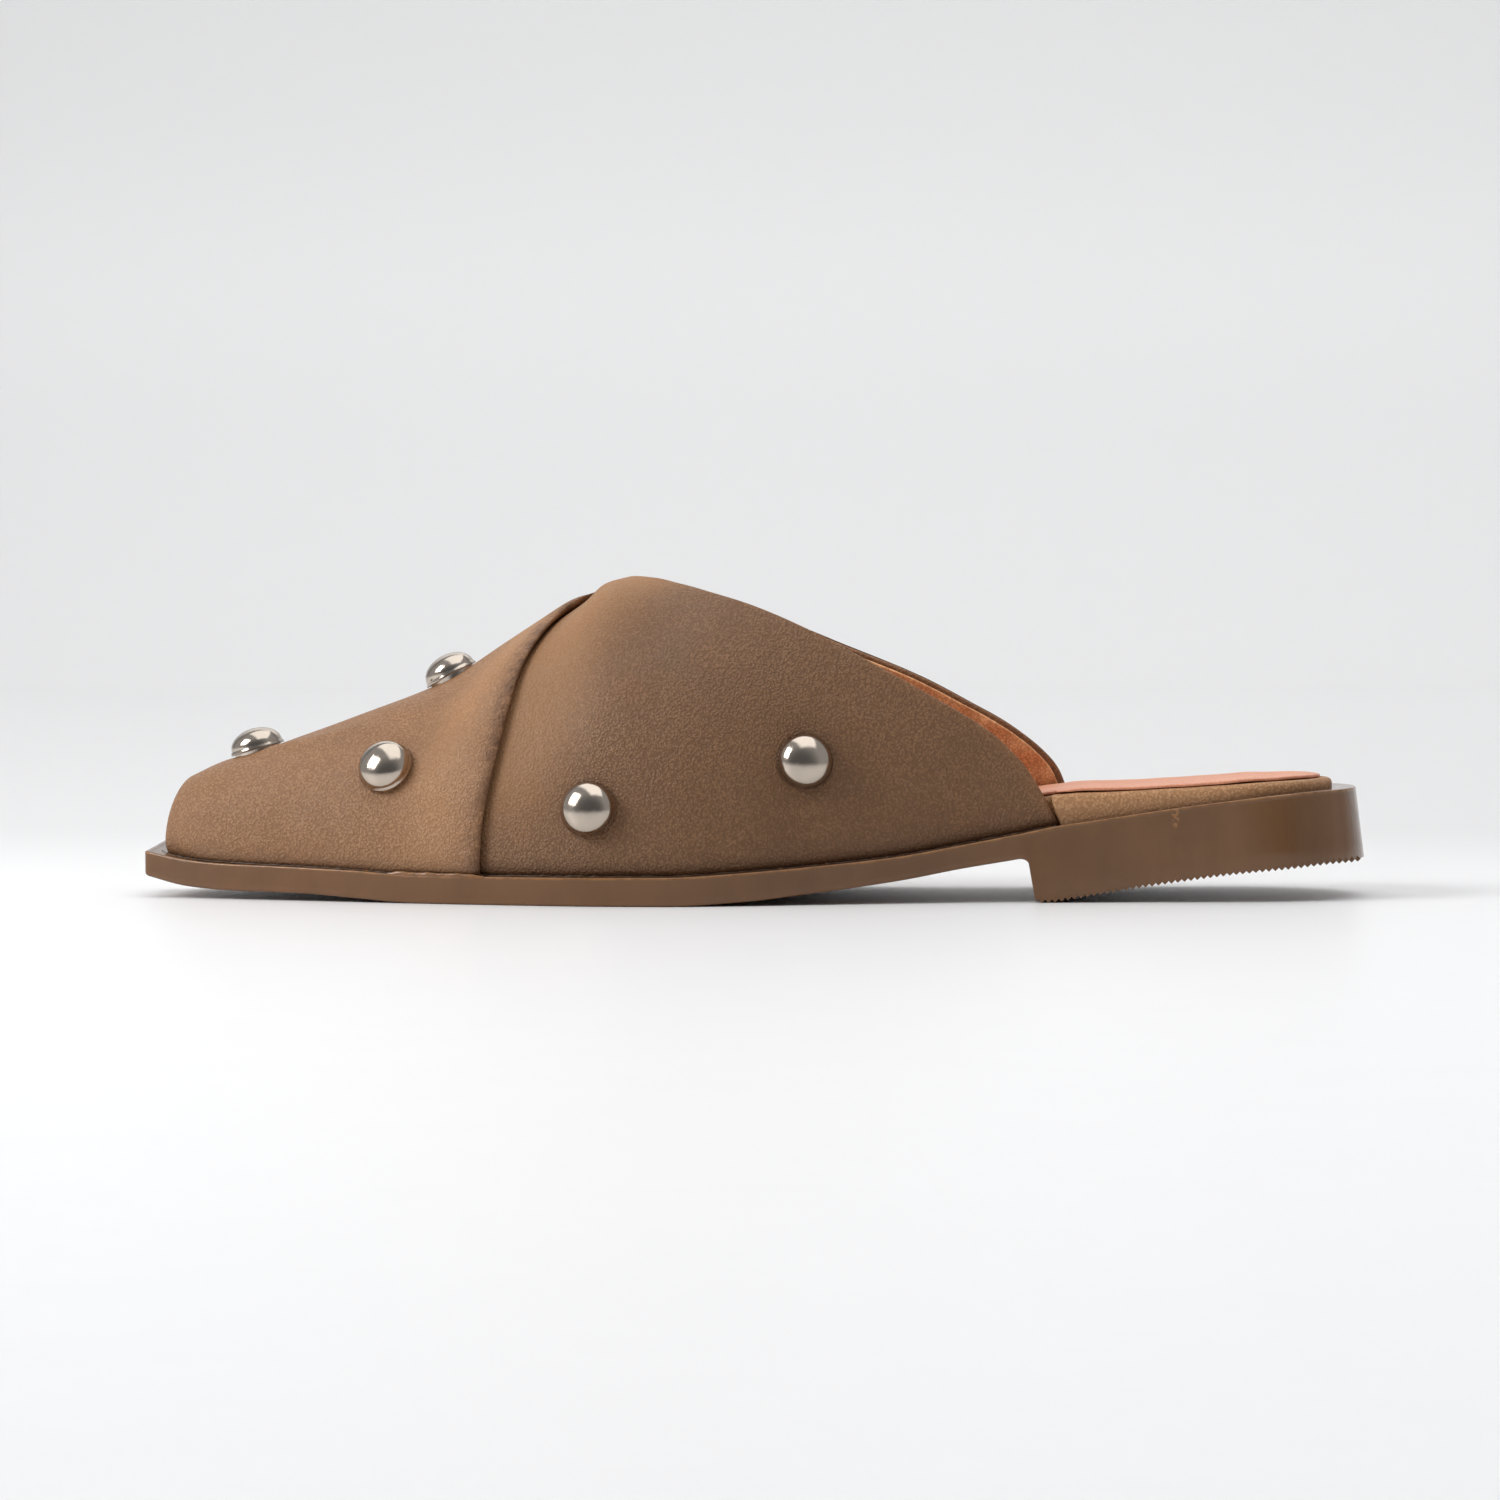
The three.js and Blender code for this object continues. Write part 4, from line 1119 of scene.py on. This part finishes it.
def studs_tree():
    """A stud on each point, turned to the direction that the point keeps."""
    tree, given, out = new_tree("studs_on_leather", [
        ("Stud", "NodeSocketObject"), ("Size", "NodeSocketFloat"), ("Metal", "NodeSocketMaterial")])
    stud = put(tree, "GeometryNodeObjectInfo", {"Object": given["Stud"]})
    way = put(tree, "GeometryNodeInputNamedAttribute", {"Name": "out"}, data_type="FLOAT_VECTOR")
    turned = put(tree, "FunctionNodeAlignRotationToVector", {"Vector": way.outputs[0]}, axis="Z")
    spread = put(tree, "GeometryNodeInstanceOnPoints",
                 {"Points": given["Geometry"], "Instance": stud.outputs["Geometry"],
                  "Rotation": turned.outputs[0], "Scale": given["Size"]})
    end_tree(tree, spread.outputs[0], given["Metal"], out)
    return tree


def ribs_tree():
    """A bar across the heel on each point, as long, wide and deep as the point says."""
    tree, given, out = new_tree("heel_ribs", [("Plastic", "NodeSocketMaterial")])
    bar = put(tree, "GeometryNodeMeshCylinder", {"Vertices": 4, "Radius": 1.0, "Depth": 1.0})
    laid = put(tree, "GeometryNodeTransform", {"Geometry": bar.outputs[0],
                                               "Rotation": (math.pi / 2, 0.0, 0.0)})
    size = put(tree, "GeometryNodeInputNamedAttribute", {"Name": "size"}, data_type="FLOAT_VECTOR")
    spread = put(tree, "GeometryNodeInstanceOnPoints",
                 {"Points": given["Geometry"], "Instance": laid.outputs[0], "Scale": size.outputs[0]})
    end_tree(tree, spread.outputs[0], given["Plastic"], out)
    return tree


def seam_tree():
    """An uneven thread of dried cement that follows a line."""
    tree, given, out = new_tree("seam_cement", [
        ("Radius", "NodeSocketFloat"), ("Uneven", "NodeSocketFloat"), ("Cement", "NodeSocketMaterial")])
    line = put(tree, "GeometryNodeMeshToCurve", {"Mesh": given["Geometry"]})
    dense = put(tree, "GeometryNodeResampleCurve", {"Curve": line.outputs[0], "Count": 900})
    spot = put(tree, "GeometryNodeInputPosition").outputs[0]
    rough = put(tree, "ShaderNodeTexNoise", {"Vector": spot, "Scale": 420.0, "Detail": 3.0})
    centred = vector_maths(tree, "SUBTRACT", rough.outputs["Color"], (0.5, 0.5, 0.5))
    moved = put(tree, "ShaderNodeVectorMath", {0: centred, "Scale": given["Uneven"]}, operation="SCALE")
    shaky = put(tree, "GeometryNodeSetPosition", {"Geometry": dense.outputs[0], "Offset": moved.outputs[0]})
    bulge = put(tree, "ShaderNodeTexNoise", {"Vector": spot, "Scale": 900.0, "Detail": 2.0})
    scale = put(tree, "ShaderNodeMapRange", {"Value": bulge.outputs[0], "From Min": 0.3, "From Max": 0.7,
                                             "To Min": 0.35, "To Max": 1.5})
    ring = put(tree, "GeometryNodeCurvePrimitiveCircle", {"Resolution": 8, "Radius": given["Radius"]})
    tube = put(tree, "GeometryNodeCurveToMesh",
               {"Curve": shaky.outputs[0], "Profile Curve": ring.outputs[0],
                "Scale": scale.outputs[0], "Fill Caps": True})
    end_tree(tree, tube.outputs[0], given["Cement"], out)
    return tree


class ShoeSizes(bpy.types.PropertyGroup):
    """Sizes that a user would change."""
    grain: bpy.props.FloatProperty(
        name="Grain", description="Grain cells of the leather in a metre", default=1850.0, min=200.0)
    collar_edge: bpy.props.FloatProperty(
        name="Collar edge", description="Roundness of the collar's edge, in millimetres",
        default=0.9, min=0.1)
    fold_edge: bpy.props.FloatProperty(
        name="Folded edge", description="Reach of the wrapped panel's turned edge, in millimetres",
        default=2.8, min=0.2)
    rib_pitch: bpy.props.FloatProperty(
        name="Rib pitch", description="Distance between the heel's ribs, in millimetres",
        default=1.4, min=0.3)
    rib_depth: bpy.props.FloatProperty(
        name="Rib depth", description="Depth of the heel's ribs, in millimetres", default=0.65, min=0.05)
    sock_wave: bpy.props.FloatProperty(
        name="Sock wave", description="Unevenness of the sock's edge, in millimetres", default=0.22, min=0.0)
    seam_radius: bpy.props.FloatProperty(
        name="Seam", description="Thickness of the cement line", default=0.00022, min=0.0,
        subtype="DISTANCE", unit="LENGTH")


def colour_property(label, description, *shade):
    return bpy.props.FloatVectorProperty(
        name=label, description=description, default=linear(*shade), size=3, min=0, max=1, subtype="COLOR")


class ShoeColours(bpy.types.PropertyGroup):
    """Colours that a user would change."""
    wrap: colour_property("Wrap", "Leather of the wrapped panel", 157, 115, 78)
    quarter: colour_property("Quarter", "Leather of the outer quarter", 129, 92, 59)
    lining: colour_property("Lining", "Lining inside the upper", 222, 154, 103)
    footbed: colour_property("Footbed", "Leather round the footbed", 194, 146, 102)
    sock: colour_property("Sock", "Leather on the footbed", 236, 170, 138)
    sole: colour_property("Sole", "Moulded sole", 114, 79, 48)
    metal: colour_property("Studs", "Polished studs", 190, 178, 165)
    paper: colour_property("Paper", "Floor and backdrop", 247, 247, 247)


def sizes():
    return bpy.context.scene.shoe_sizes


def colours():
    return bpy.context.scene.shoe_colours


def sole_material():
    """The sole's plastic, with scuffs at the places of the real one's outer side."""
    made = bpy.data.materials.get("sole_plastic")
    if made:
        return made
    base = tuple(colours().sole)
    tones = (base, scaled(base, 0.62, 0.60, 0.58), scaled(base, 1.25, 1.12, 1.0),
             scaled(base, 2.2, 2.25, 2.3))
    side = -half_width(np.array([SCUFF_SIDE_AT]), "outer")[0]
    marks = []
    for x, z, wide, high in SCUFFS:
        centre = np.array([x, side, z]) * MM + shift()
        marks.append((tuple(centre), (wide * MM, SCUFF_REACH * MM, high * MM)))
    return sole_plastic("sole_plastic", tones, marks)


class SHOE_OT_outsole(bpy.types.Operator):
    """Moulds the sole and heel in one piece"""
    bl_idname = "shoe.outsole"
    bl_label = "Outsole"

    def execute(self, context):
        points, faces, masks = outsole_mesh(sizes().rib_depth)
        piece = new_piece("outsole_moulded", points, faces, sole_material(), masks, sharp=50)
        belongs(piece, "sole", "outsole")
        return {"FINISHED"}


class SHOE_OT_heel_ribs(bpy.types.Operator):
    """Sets the ribs across the under face of the heel"""
    bl_idname = "shoe.heel_ribs"
    bl_label = "Heel ribs"

    def execute(self, context):
        pitch, depth = sizes().rib_pitch, sizes().rib_depth
        x = np.arange(BREAST_AT + BREAST_SLOPE + pitch, SOLE_BACK_AT - 1.5, pitch)
        outer, inner = half_width(x, "outer") - RIB_END_GAP, half_width(x, "inner") - RIB_END_GAP
        z = heel_under(x) + depth
        place_x = x + HEEL_LEAN * (sole_top(x) - z)
        points = np.stack([place_x, (inner - outer) / 2, z], axis=1)
        bars = np.stack([np.full(x.shape, pitch / 2), outer + inner, np.full(x.shape, depth)], axis=1) * MM
        piece = grow("heel_ribs", points, [], {"size": bars}, ribs_tree(),
                     {"Plastic": sole_material()}, sole_material(), smooth_angle=20)
        belongs(piece, "sole")
        return {"FINISHED"}


class SHOE_OT_sole_flash(bpy.types.Operator):
    """Lays the torn sliver of plastic along the sole's outer edge"""
    bl_idname = "shoe.sole_flash"
    bl_label = "Sole flash"

    def execute(self, context):
        x = np.linspace(FLASH_START, FLASH_END, 90)
        way = (x - x[0]) / (x[-1] - x[0])
        width = 0.35 + 0.85 * smooth(way * 5) * (0.7 + 0.3 * wobble(x, 5, 9.0))
        rise = 0.30 + 0.40 * smooth(way * 6) * np.exp(-way * 1.2) + 0.10 * wobble(x, 8, 6.0)
        rise *= smooth(way * 12) * smooth((1 - way) * 6)
        edge_y = -half_width(x, "outer")
        top = sole_top(x)
        rows = []
        for inward, up in FLASH_SECTION:
            lift = np.maximum(0.05, rise) * (1.0 if up > 0 else 0.3)
            rows.append(np.stack([x, edge_y + 0.05 + inward * width, top + up * 0.6 + lift], axis=1))
        rows.append(rows[0])
        grid = np.stack(rows, axis=1)
        corners = range(len(FLASH_SECTION))
        faces = grid_faces(len(x), len(rows)).tolist()
        faces.append(list(corners))
        faces.append([(len(x) - 1) * len(rows) + k for k in corners])
        piece = loose_piece("sole_flash", grid.reshape(-1, 3), faces, sole_material())
        belongs(piece, "sole")
        return {"FINISHED"}


def loose_piece(name, points, faces, material):
    """A small mesh whose faces have uneven numbers of corners."""
    mesh = bpy.data.meshes.new(name)
    mesh.from_pydata((points * MM + shift()).tolist(), [], faces)
    close_up(mesh, merge=1e-6)
    mesh.attributes.new("edge", "FLOAT", "POINT").data.foreach_set("value", [1.0] * len(mesh.vertices))
    mesh.materials.append(material)
    return add_object(name, mesh)


class SHOE_OT_footbed(bpy.types.Operator):
    """Wraps the footbed in leather"""
    bl_idname = "shoe.footbed"
    bl_label = "Footbed"

    def execute(self, context):
        material = leather("footbed_leather", tuple(colours().footbed), (0.66, 0.62, 0.58),
                           (1.15, 1.0, 0.85), (1.2, 1.2, 1.2), grain=1600.0, depth=0.00022, gloss=0.62)
        sides, hidden = board_sides(0.0, FOOTBED_BACK_LEDGE)
        columns = board_columns(sides, hidden, lambda x: sole_top(x) + 0.02, footbed_top, FOOTBED_EDGE_ROUND)
        # Painted shade along the footbed's lowest edge, where it meets the sole
        foot = np.zeros(columns[0].shape[1])
        foot[0] = 0.8
        points, faces, masks = board(columns[0], columns[1], {"foot": foot})
        piece = new_piece("footbed_wrapped", points, faces, material, masks, sharp=60)
        belongs(piece, "footbed", "footbed")
        return {"FINISHED"}


class SHOE_OT_sock(bpy.types.Operator):
    """Lays the sock on the footbed"""
    bl_idname = "shoe.sock"
    bl_label = "Sock"

    def execute(self, context):
        material = leather("sock_leather", tuple(colours().sock), (0.78, 0.68, 0.62),
                           (1.0, 0.78, 0.62), (0.72, 0.6, 0.52), grain=2400.0, depth=0.00005, gloss=0.5,
                           mottling=0.6)
        back_ledge = FOOTBED_BACK_LEDGE + SOCK_BACK_MARGIN
        sides, hidden = board_sides(SOCK_MARGIN, back_ledge, sizes().sock_wave, seed=3)

        def under(x):
            curl = 0.16 + 0.14 * wobble(x, 11, 31.0)
            return footbed_top(x) + 0.08 + np.maximum(0, curl)

        columns = board_columns(sides, hidden, under, lambda x: under(x) + SOCK_THICKNESS,
                                SOCK_THICKNESS / 2.2, bottom_round=0.2)
        edge = np.zeros(columns[0].shape[1])
        edge[:5] = 0.9
        points, faces, masks = board(columns[0], columns[1], {"edge": edge})
        piece = new_piece("sock_leather", points, faces, material, masks, sharp=60)
        belongs(piece, "sock", "sock")
        return {"FINISHED"}


class SHOE_OT_upper(bpy.types.Operator):
    """Lasts the outer quarter and its lining"""
    bl_idname = "shoe.upper"
    bl_label = "Upper"

    def execute(self, context):
        material = leather("quarter_leather", tuple(colours().quarter), (0.62, 0.58, 0.55),
                           (1.16, 1.01, 0.86), (1.55, 1.4, 1.3), grain=sizes().grain, gloss=0.5)
        reach = sizes().collar_edge
        points, faces, masks = skin_shell(collar_at, 0.0, -LEATHER_THICKNESS, reach, highlight_line=QUARTER_HIGHLIGHT)
        piece = new_piece("quarter", points, faces, material, masks)
        belongs(piece, "quarter_leather", "upper")

        inside = leather("lining_leather", tuple(colours().lining), (0.6, 0.52, 0.45),
                         (1.15, 0.95, 0.8), (1.5, 1.6, 1.7), grain=1900.0, depth=0.00012, gloss=0.55,
                         mottling=0.6, folds=9.0)

        def gathers(x, around, distance):
            near = smooth((x - 160) / 25) * np.where(distance < -1.4, 1.0, 0.0)
            return near * 0.22 * np.sin(around * 95 + 0.9 * np.sin(x * 0.21)) * smooth(np.abs(around) * 3)

        points, faces, masks = skin_shell(lambda a: collar_at(a) - LINING_STOP, -LEATHER_THICKNESS - 0.04,
                                          -WALL_THICKNESS, 0.5, rows=110, columns=161, extra=gathers)
        piece = new_piece("lining", points, faces, inside, masks)
        belongs(piece, "sock", "upper")
        return {"FINISHED"}


class SHOE_OT_wrap(bpy.types.Operator):
    """Folds the wrapped panel over the quarter"""
    bl_idname = "shoe.wrap"
    bl_label = "Wrapped panel"

    def execute(self, context):
        # The dark colour along its turned edge is painted shade on the fold.
        material = leather("wrap_leather", tuple(colours().wrap), (0.66, 0.62, 0.60),
                           (1.14, 1.01, 0.87), (0.38, 0.33, 0.30), grain=sizes().grain, gloss=0.5,
                           mottling=0.65)
        points, faces, masks = skin_shell(wrap_end_at, LAYER_GAP + WRAP_THICKNESS, 0.12,
                                          sizes().fold_edge, lift=WRAP_EDGE_LIFT, highlight_line=WRAP_HIGHLIGHT)
        piece = new_piece("wrap", points, faces, material, masks)
        belongs(piece, "wrap_leather", "wrap_panel")
        return {"FINISHED"}


class SHOE_OT_seam(bpy.types.Operator):
    """Runs the dark line of cement where the upper meets the sole; it also paints the shade in that joint"""
    bl_idname = "shoe.seam"
    bl_label = "Seam"

    def execute(self, context):
        base = tuple(colours().sole)
        material = cement_line("seam_cement", scaled(base, 0.35, 0.33, 0.3), scaled(base, 1.7, 1.6, 1.45))
        wrap_foot = LAYER_GAP + WRAP_THICKNESS - SEAM_TUCK
        quarter_foot = -SEAM_TUCK

        def side(sign, x, changes_at):
            distance = wrap_foot + (quarter_foot - wrap_foot) * smooth((x - changes_at + 1) / 2)
            line = skin_point(x, np.full(x.shape, sign), 1.0, distance)
            line[:, 2] = sole_top(line[:, 0]) + 0.1
            return line

        x = np.linspace(UPPER_TOE_LEDGE + 0.05, COLLAR_END_AT - 0.5, 260)
        back_in = side(1.0, x, 2 * COLLAR_END_AT)[::-1]
        back_out = side(-1.0, x, WRAP_EDGE["along"][0] * SOLE_LENGTH)
        line = np.concatenate((back_in, back_out))
        edges = [(i, i + 1) for i in range(len(line) - 1)]
        piece = grow("seam_cement", line, edges, {}, seam_tree(),
                     {"Radius": sizes().seam_radius, "Uneven": 0.0005, "Cement": material}, material)
        belongs(piece, "sole")
        return {"FINISHED"}


class SHOE_OT_studs(bpy.types.Operator):
    """Sets the polished studs on the leather"""
    bl_idname = "shoe.studs"
    bl_label = "Studs"

    def execute(self, context):
        material = polished_metal("stud_metal", tuple(colours().metal))
        turn = np.linspace(0, math.pi / 2, 16)
        dome = [((STUD_RADIUS - STUD_BEVEL) * math.cos(a),
                 STUD_BAND_TOP + (STUD_HEIGHT - STUD_BAND_TOP) * math.sin(a)) for a in turn]
        profile = [(0.0, -STUD_SKIRT_DEPTH), (STUD_SKIRT_RADIUS, -STUD_SKIRT_DEPTH),
                   (STUD_SKIRT_RADIUS, 0.0), (STUD_RADIUS - 0.12, 0.04), (STUD_RADIUS, 0.16),
                   (STUD_RADIUS - 0.04, 0.5), (STUD_RADIUS - STUD_BEVEL, STUD_BAND_TOP - 0.04)]
        pattern = lathe("stud_pattern", profile + dome, 56, material)
        points, ways = [], []
        for _, on_wrap, along, around in STUDS:
            base = LAYER_GAP + WRAP_THICKNESS if on_wrap else 0.0
            x = np.array([along * SOLE_LENGTH])
            share = np.array([around])
            points.append(skin_point(x, share, 1.0, base + STUD_STAND)[0])
            ways.append(upper_normal(x, share)[0])
        piece = grow("studs", points, [], {"out": ways}, studs_tree(),
                     {"Stud": pattern, "Size": 1.0, "Metal": material}, material)
        bpy.data.objects.remove(pattern)
        belongs(piece, "stud", *(name for name, _, _, _ in STUDS))
        return {"FINISHED"}


def add_camera():
    """Camera at the photograph's angle."""
    azimuth, elevation, roll = map(math.radians, (CAMERA_AZIMUTH, CAMERA_ELEVATION, CAMERA_ROLL))
    back = Vector((math.sin(azimuth) * math.cos(elevation), -math.cos(azimuth) * math.cos(elevation),
                   math.sin(elevation)))
    right = (-back).cross(Vector((0, 0, 1))).normalized()
    up = right.cross(-back)
    rolled_right = right * math.cos(roll) + up * math.sin(roll)
    rolled_up = up * math.cos(roll) - right * math.sin(roll)
    data = bpy.data.cameras.new("camera")
    data.lens = CAMERA_LENS
    data.sensor_width = CAMERA_SENSOR
    data.sensor_fit = "HORIZONTAL"
    data.clip_start = 0.02
    data.clip_end = 30.0
    camera = add_object("camera", data)
    turned = Matrix((rolled_right, rolled_up, back)).transposed().to_4x4()
    camera.matrix_world = Matrix.Translation(Vector(CAMERA_TARGET) + back * CAMERA_DISTANCE) @ turned
    bpy.context.scene.camera = camera


def add_softbox(name, place_at, aim, size, power):
    """A soft light that points at a place."""
    data = bpy.data.lights.new(name, "AREA")
    data.shape = "RECTANGLE"
    data.size, data.size_y = size
    data.energy = power
    lamp = add_object(name, data)
    lamp.location = place_at
    lamp.rotation_euler = (Vector(aim) - Vector(place_at)).to_track_quat("-Z", "Y").to_euler()


def add_paper():
    """Floor that runs up into a backdrop in one sweep."""
    bend = np.radians(np.linspace(0, 90, 25))
    sweep = [(PAPER_FLOOR_END + PAPER_SWEEP * math.sin(a), PAPER_SWEEP * (1 - math.cos(a))) for a in bend]
    line = np.array([(PAPER_FRONT, 0.0), *sweep, (PAPER_FLOOR_END + PAPER_SWEEP, PAPER_HEIGHT)])
    points = np.concatenate([np.stack([np.full(len(line), x), line[:, 0], line[:, 1]], axis=1)
                             for x in (-PAPER_HALF_WIDTH, PAPER_HALF_WIDTH)])
    count = len(line)
    faces = [(i, count + i, count + i + 1, i + 1) for i in range(count - 1)]
    mesh = bpy.data.meshes.new("paper")
    mesh.from_pydata(points.tolist(), [], faces)
    mesh.shade_smooth()
    mesh.materials.append(studio_paper("studio_paper", tuple(colours().paper)))
    add_object("paper", mesh)


def set_world():
    """Even studio surroundings, darker towards the camera's side of the room."""
    world = bpy.data.worlds.new("studio")
    world.use_nodes = True
    tree = world.node_tree
    tree.nodes.clear()
    way = tree.nodes.new("ShaderNodeTexCoord").outputs["Generated"]
    parts = put(tree, "ShaderNodeSeparateXYZ", {0: way})
    front = between(tree, parts.outputs["Y"], -0.95, -0.35, 0.32, 1.0)
    sky = put(tree, "ShaderNodeBackground", {"Color": (0.96, 0.97, 1.0, 1.0)})
    tree.links.new(maths(tree, "MULTIPLY", front, SURROUNDINGS), sky.inputs["Strength"])
    tree.links.new(sky.outputs[0], tree.nodes.new("ShaderNodeOutputWorld").inputs["Surface"])
    bpy.context.scene.world = world


class SHOE_OT_stage(bpy.types.Operator):
    """Sets up the paper, the lights and the camera"""
    bl_idname = "shoe.stage"
    bl_label = "Stage"

    def execute(self, context):
        add_paper()
        set_world()
        for lamp in SOFTBOXES:
            add_softbox(*lamp)
        add_camera()
        context.scene.view_settings.view_transform = "Standard"
        return {"FINISHED"}


PIECES = (SHOE_OT_outsole, SHOE_OT_heel_ribs, SHOE_OT_sole_flash, SHOE_OT_footbed, SHOE_OT_sock,
          SHOE_OT_upper, SHOE_OT_wrap, SHOE_OT_seam, SHOE_OT_studs, SHOE_OT_stage)


class SHOE_PT_panel(bpy.types.Panel):
    """Lists the shoe's pieces"""
    bl_label = "Mule shoe"
    bl_idname = "SHOE_PT_panel"
    bl_space_type = "VIEW_3D"
    bl_region_type = "UI"
    bl_category = "Shoe"

    def draw(self, context):
        column = self.layout.column()
        for group in (context.scene.shoe_sizes, context.scene.shoe_colours):
            for name in group.bl_rna.properties.keys():
                if name not in {"rna_type", "name"}:
                    column.prop(group, name)
        for piece in PIECES:
            column.operator(piece.bl_idname)


CLASSES = (ShoeSizes, ShoeColours, *PIECES, SHOE_PT_panel)


def register():
    for item in CLASSES:
        bpy.utils.register_class(item)
    bpy.types.Scene.shoe_sizes = bpy.props.PointerProperty(type=ShoeSizes)
    bpy.types.Scene.shoe_colours = bpy.props.PointerProperty(type=ShoeColours)


def unregister():
    del bpy.types.Scene.shoe_colours
    del bpy.types.Scene.shoe_sizes
    for item in reversed(CLASSES):
        bpy.utils.unregister_class(item)


def main():
    register()
    for piece in PIECES:
        group, name = piece.bl_idname.split(".")
        getattr(getattr(bpy.ops, group), name)()


if __name__ == "__main__":
    main()
